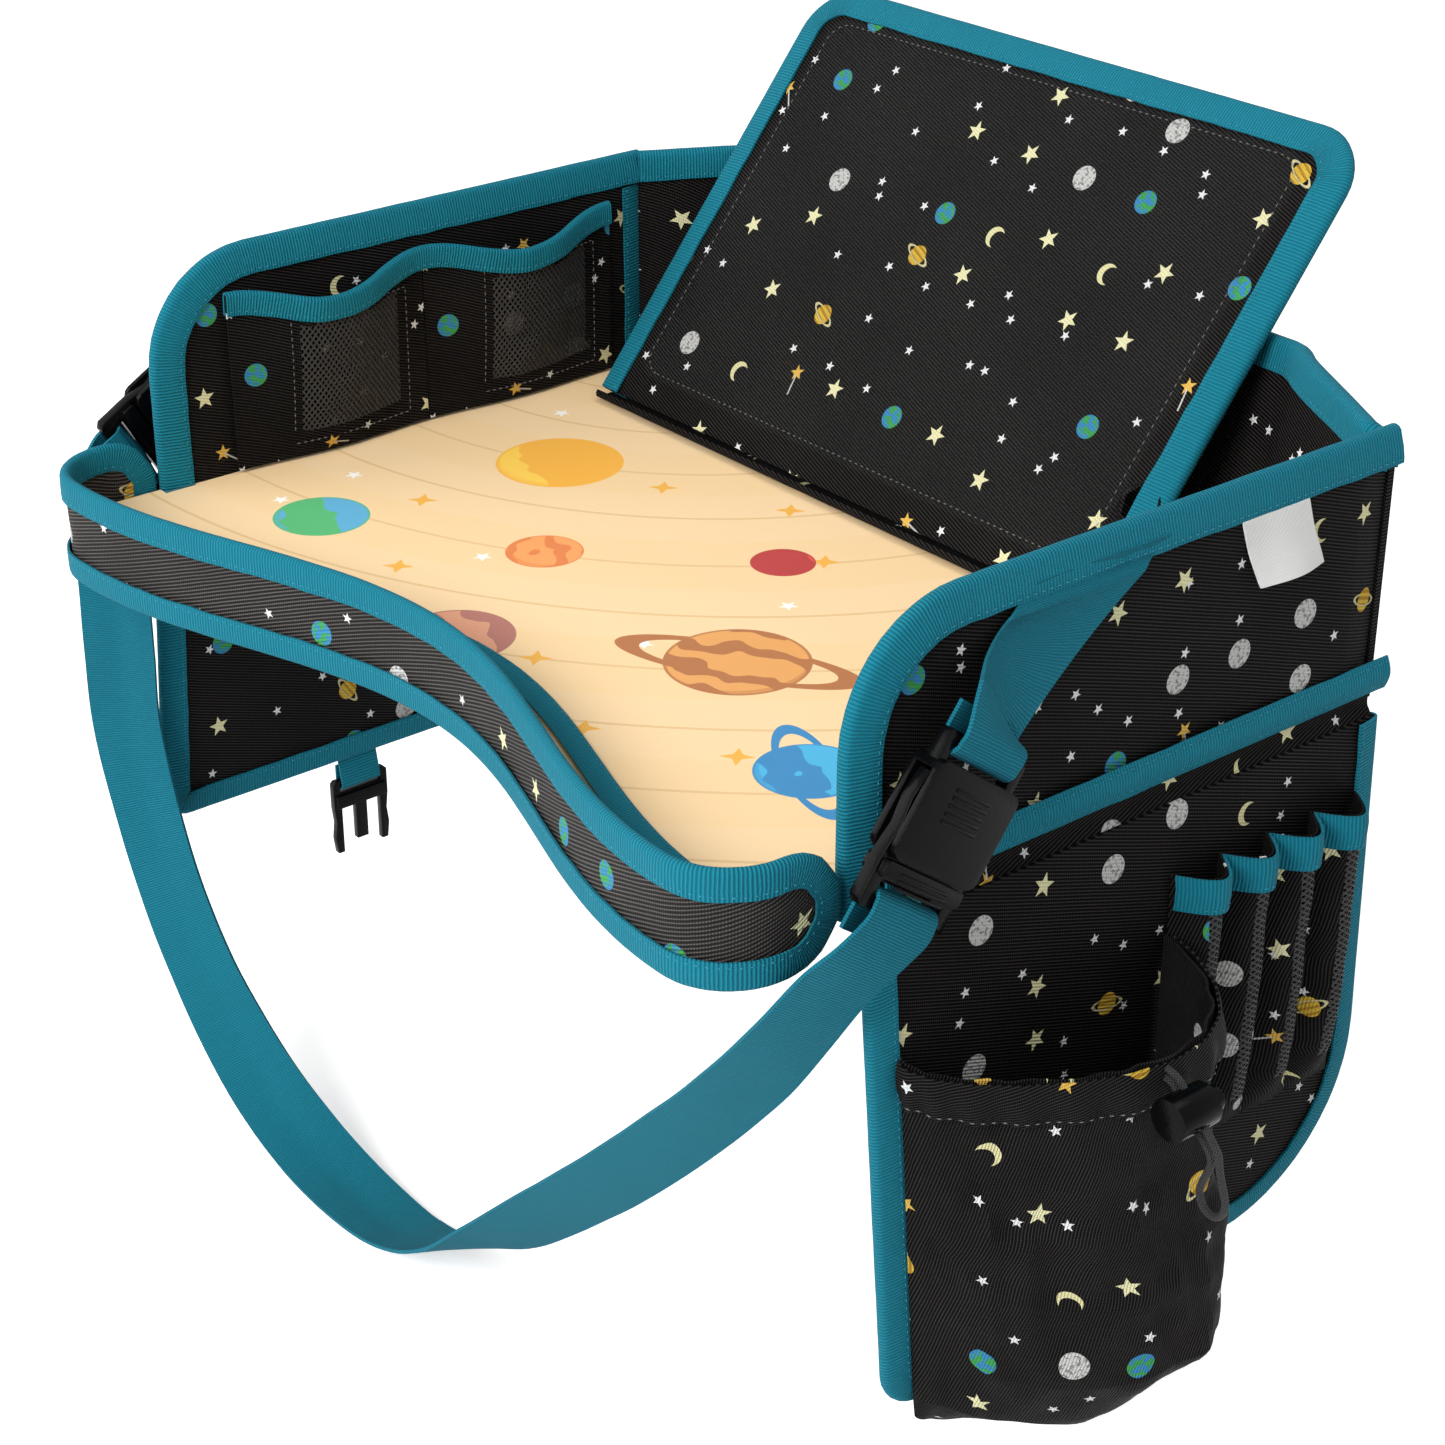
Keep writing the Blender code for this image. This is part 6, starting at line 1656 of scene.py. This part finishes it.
studio = {
    "world": 0.46, "floorGlow": 0.56, "floorGap": 0.0005, "floorSize": 14,
    "lamps": (
        # place, aim, size, watts
        ((0.45, -1.75, 1.15), (0, 0, 0), 1.1, 40),
        ((-1.2, -1.3, 0.8), (0, 0, 0), 1.2, 12),
        ((0.3, 0.6, 1.9), (0, 0, 0.05), 1.2, 9),
    ),
}


def seenRays():
    # 1 for the rays that show the backdrop itself, 0 for those that light the object
    rays = addNode("LightPath").outputs
    return larger(rays["Is Camera Ray"], larger(rays["Is Glossy Ray"], rays["Is Transmission Ray"]))


def addStudio():
    world = bpy.data.worlds.new("studio")
    bpy.context.scene.world = world
    world.use_nodes = True
    building["tree"] = world.node_tree
    backdrop = world.node_tree.nodes["Background"].inputs
    feed(backdrop["Strength"], scaled(seenRays(), 1.0 - studio["world"], studio["world"]))
    backdrop["Color"].default_value = (1, 1, 1, 1)
    for i, (place, aim, size, watts) in enumerate(studio["lamps"]):
        data = bpy.data.lights.new("lamp%d" % i, "AREA")
        data.shape = "DISK"
        data.size = size
        data.energy = watts
        lamp = bpy.data.objects.new("lamp%d" % i, data)
        lamp.location = place
        lamp.rotation_euler = (Vector(place) - Vector(aim)).to_track_quat("Z", "Y").to_euler()
        bpy.context.scene.collection.objects.link(lamp)
    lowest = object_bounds()[0][2] - studio["floorGap"]
    bpy.ops.mesh.primitive_plane_add(size=studio["floorSize"], location=(0, 0, lowest))
    floor = bpy.context.object
    floor.name = "studio_floor"
    made, sockets = newLook("studio floor", (0.9, 0.9, 0.9), 0.9, Emission_Color=(1, 1, 1, 1))
    feed(sockets["Emission Strength"], times(seenRays(), studio["floorGlow"]))
    floor.data.materials.append(made)
    print("studio done")


def main():
    bpy.context.scene.view_settings.view_transform = "Standard"
    addCamera()
    makeLooks()
    addCordLock()
    addDrawcord()
    addDeck()
    addRim()
    addWall(1, "right_wall")
    addWall(-1, "left_wall")
    addCornerTape()
    addBackWall()
    addPiping(1, "right_piping", tray["rearY"] + piping["overhang"])
    addPiping(-1, "left_piping", tray["rearY"] - wall["leg"] - tray["gap"])
    addSeam(1, "right_wing_seam")
    addSeam(-1, "left_wing_seam")
    addStand()
    addWing(1, "right_wing")
    addWing(-1, "left_wing")
    addPouch()
    addMarkerSlots()
    addPockets()
    addStrap()
    addBuckles()
    addClipTabs()
    addLabel()
    sewStitches()
    paintKept()
    addStudio()


main()
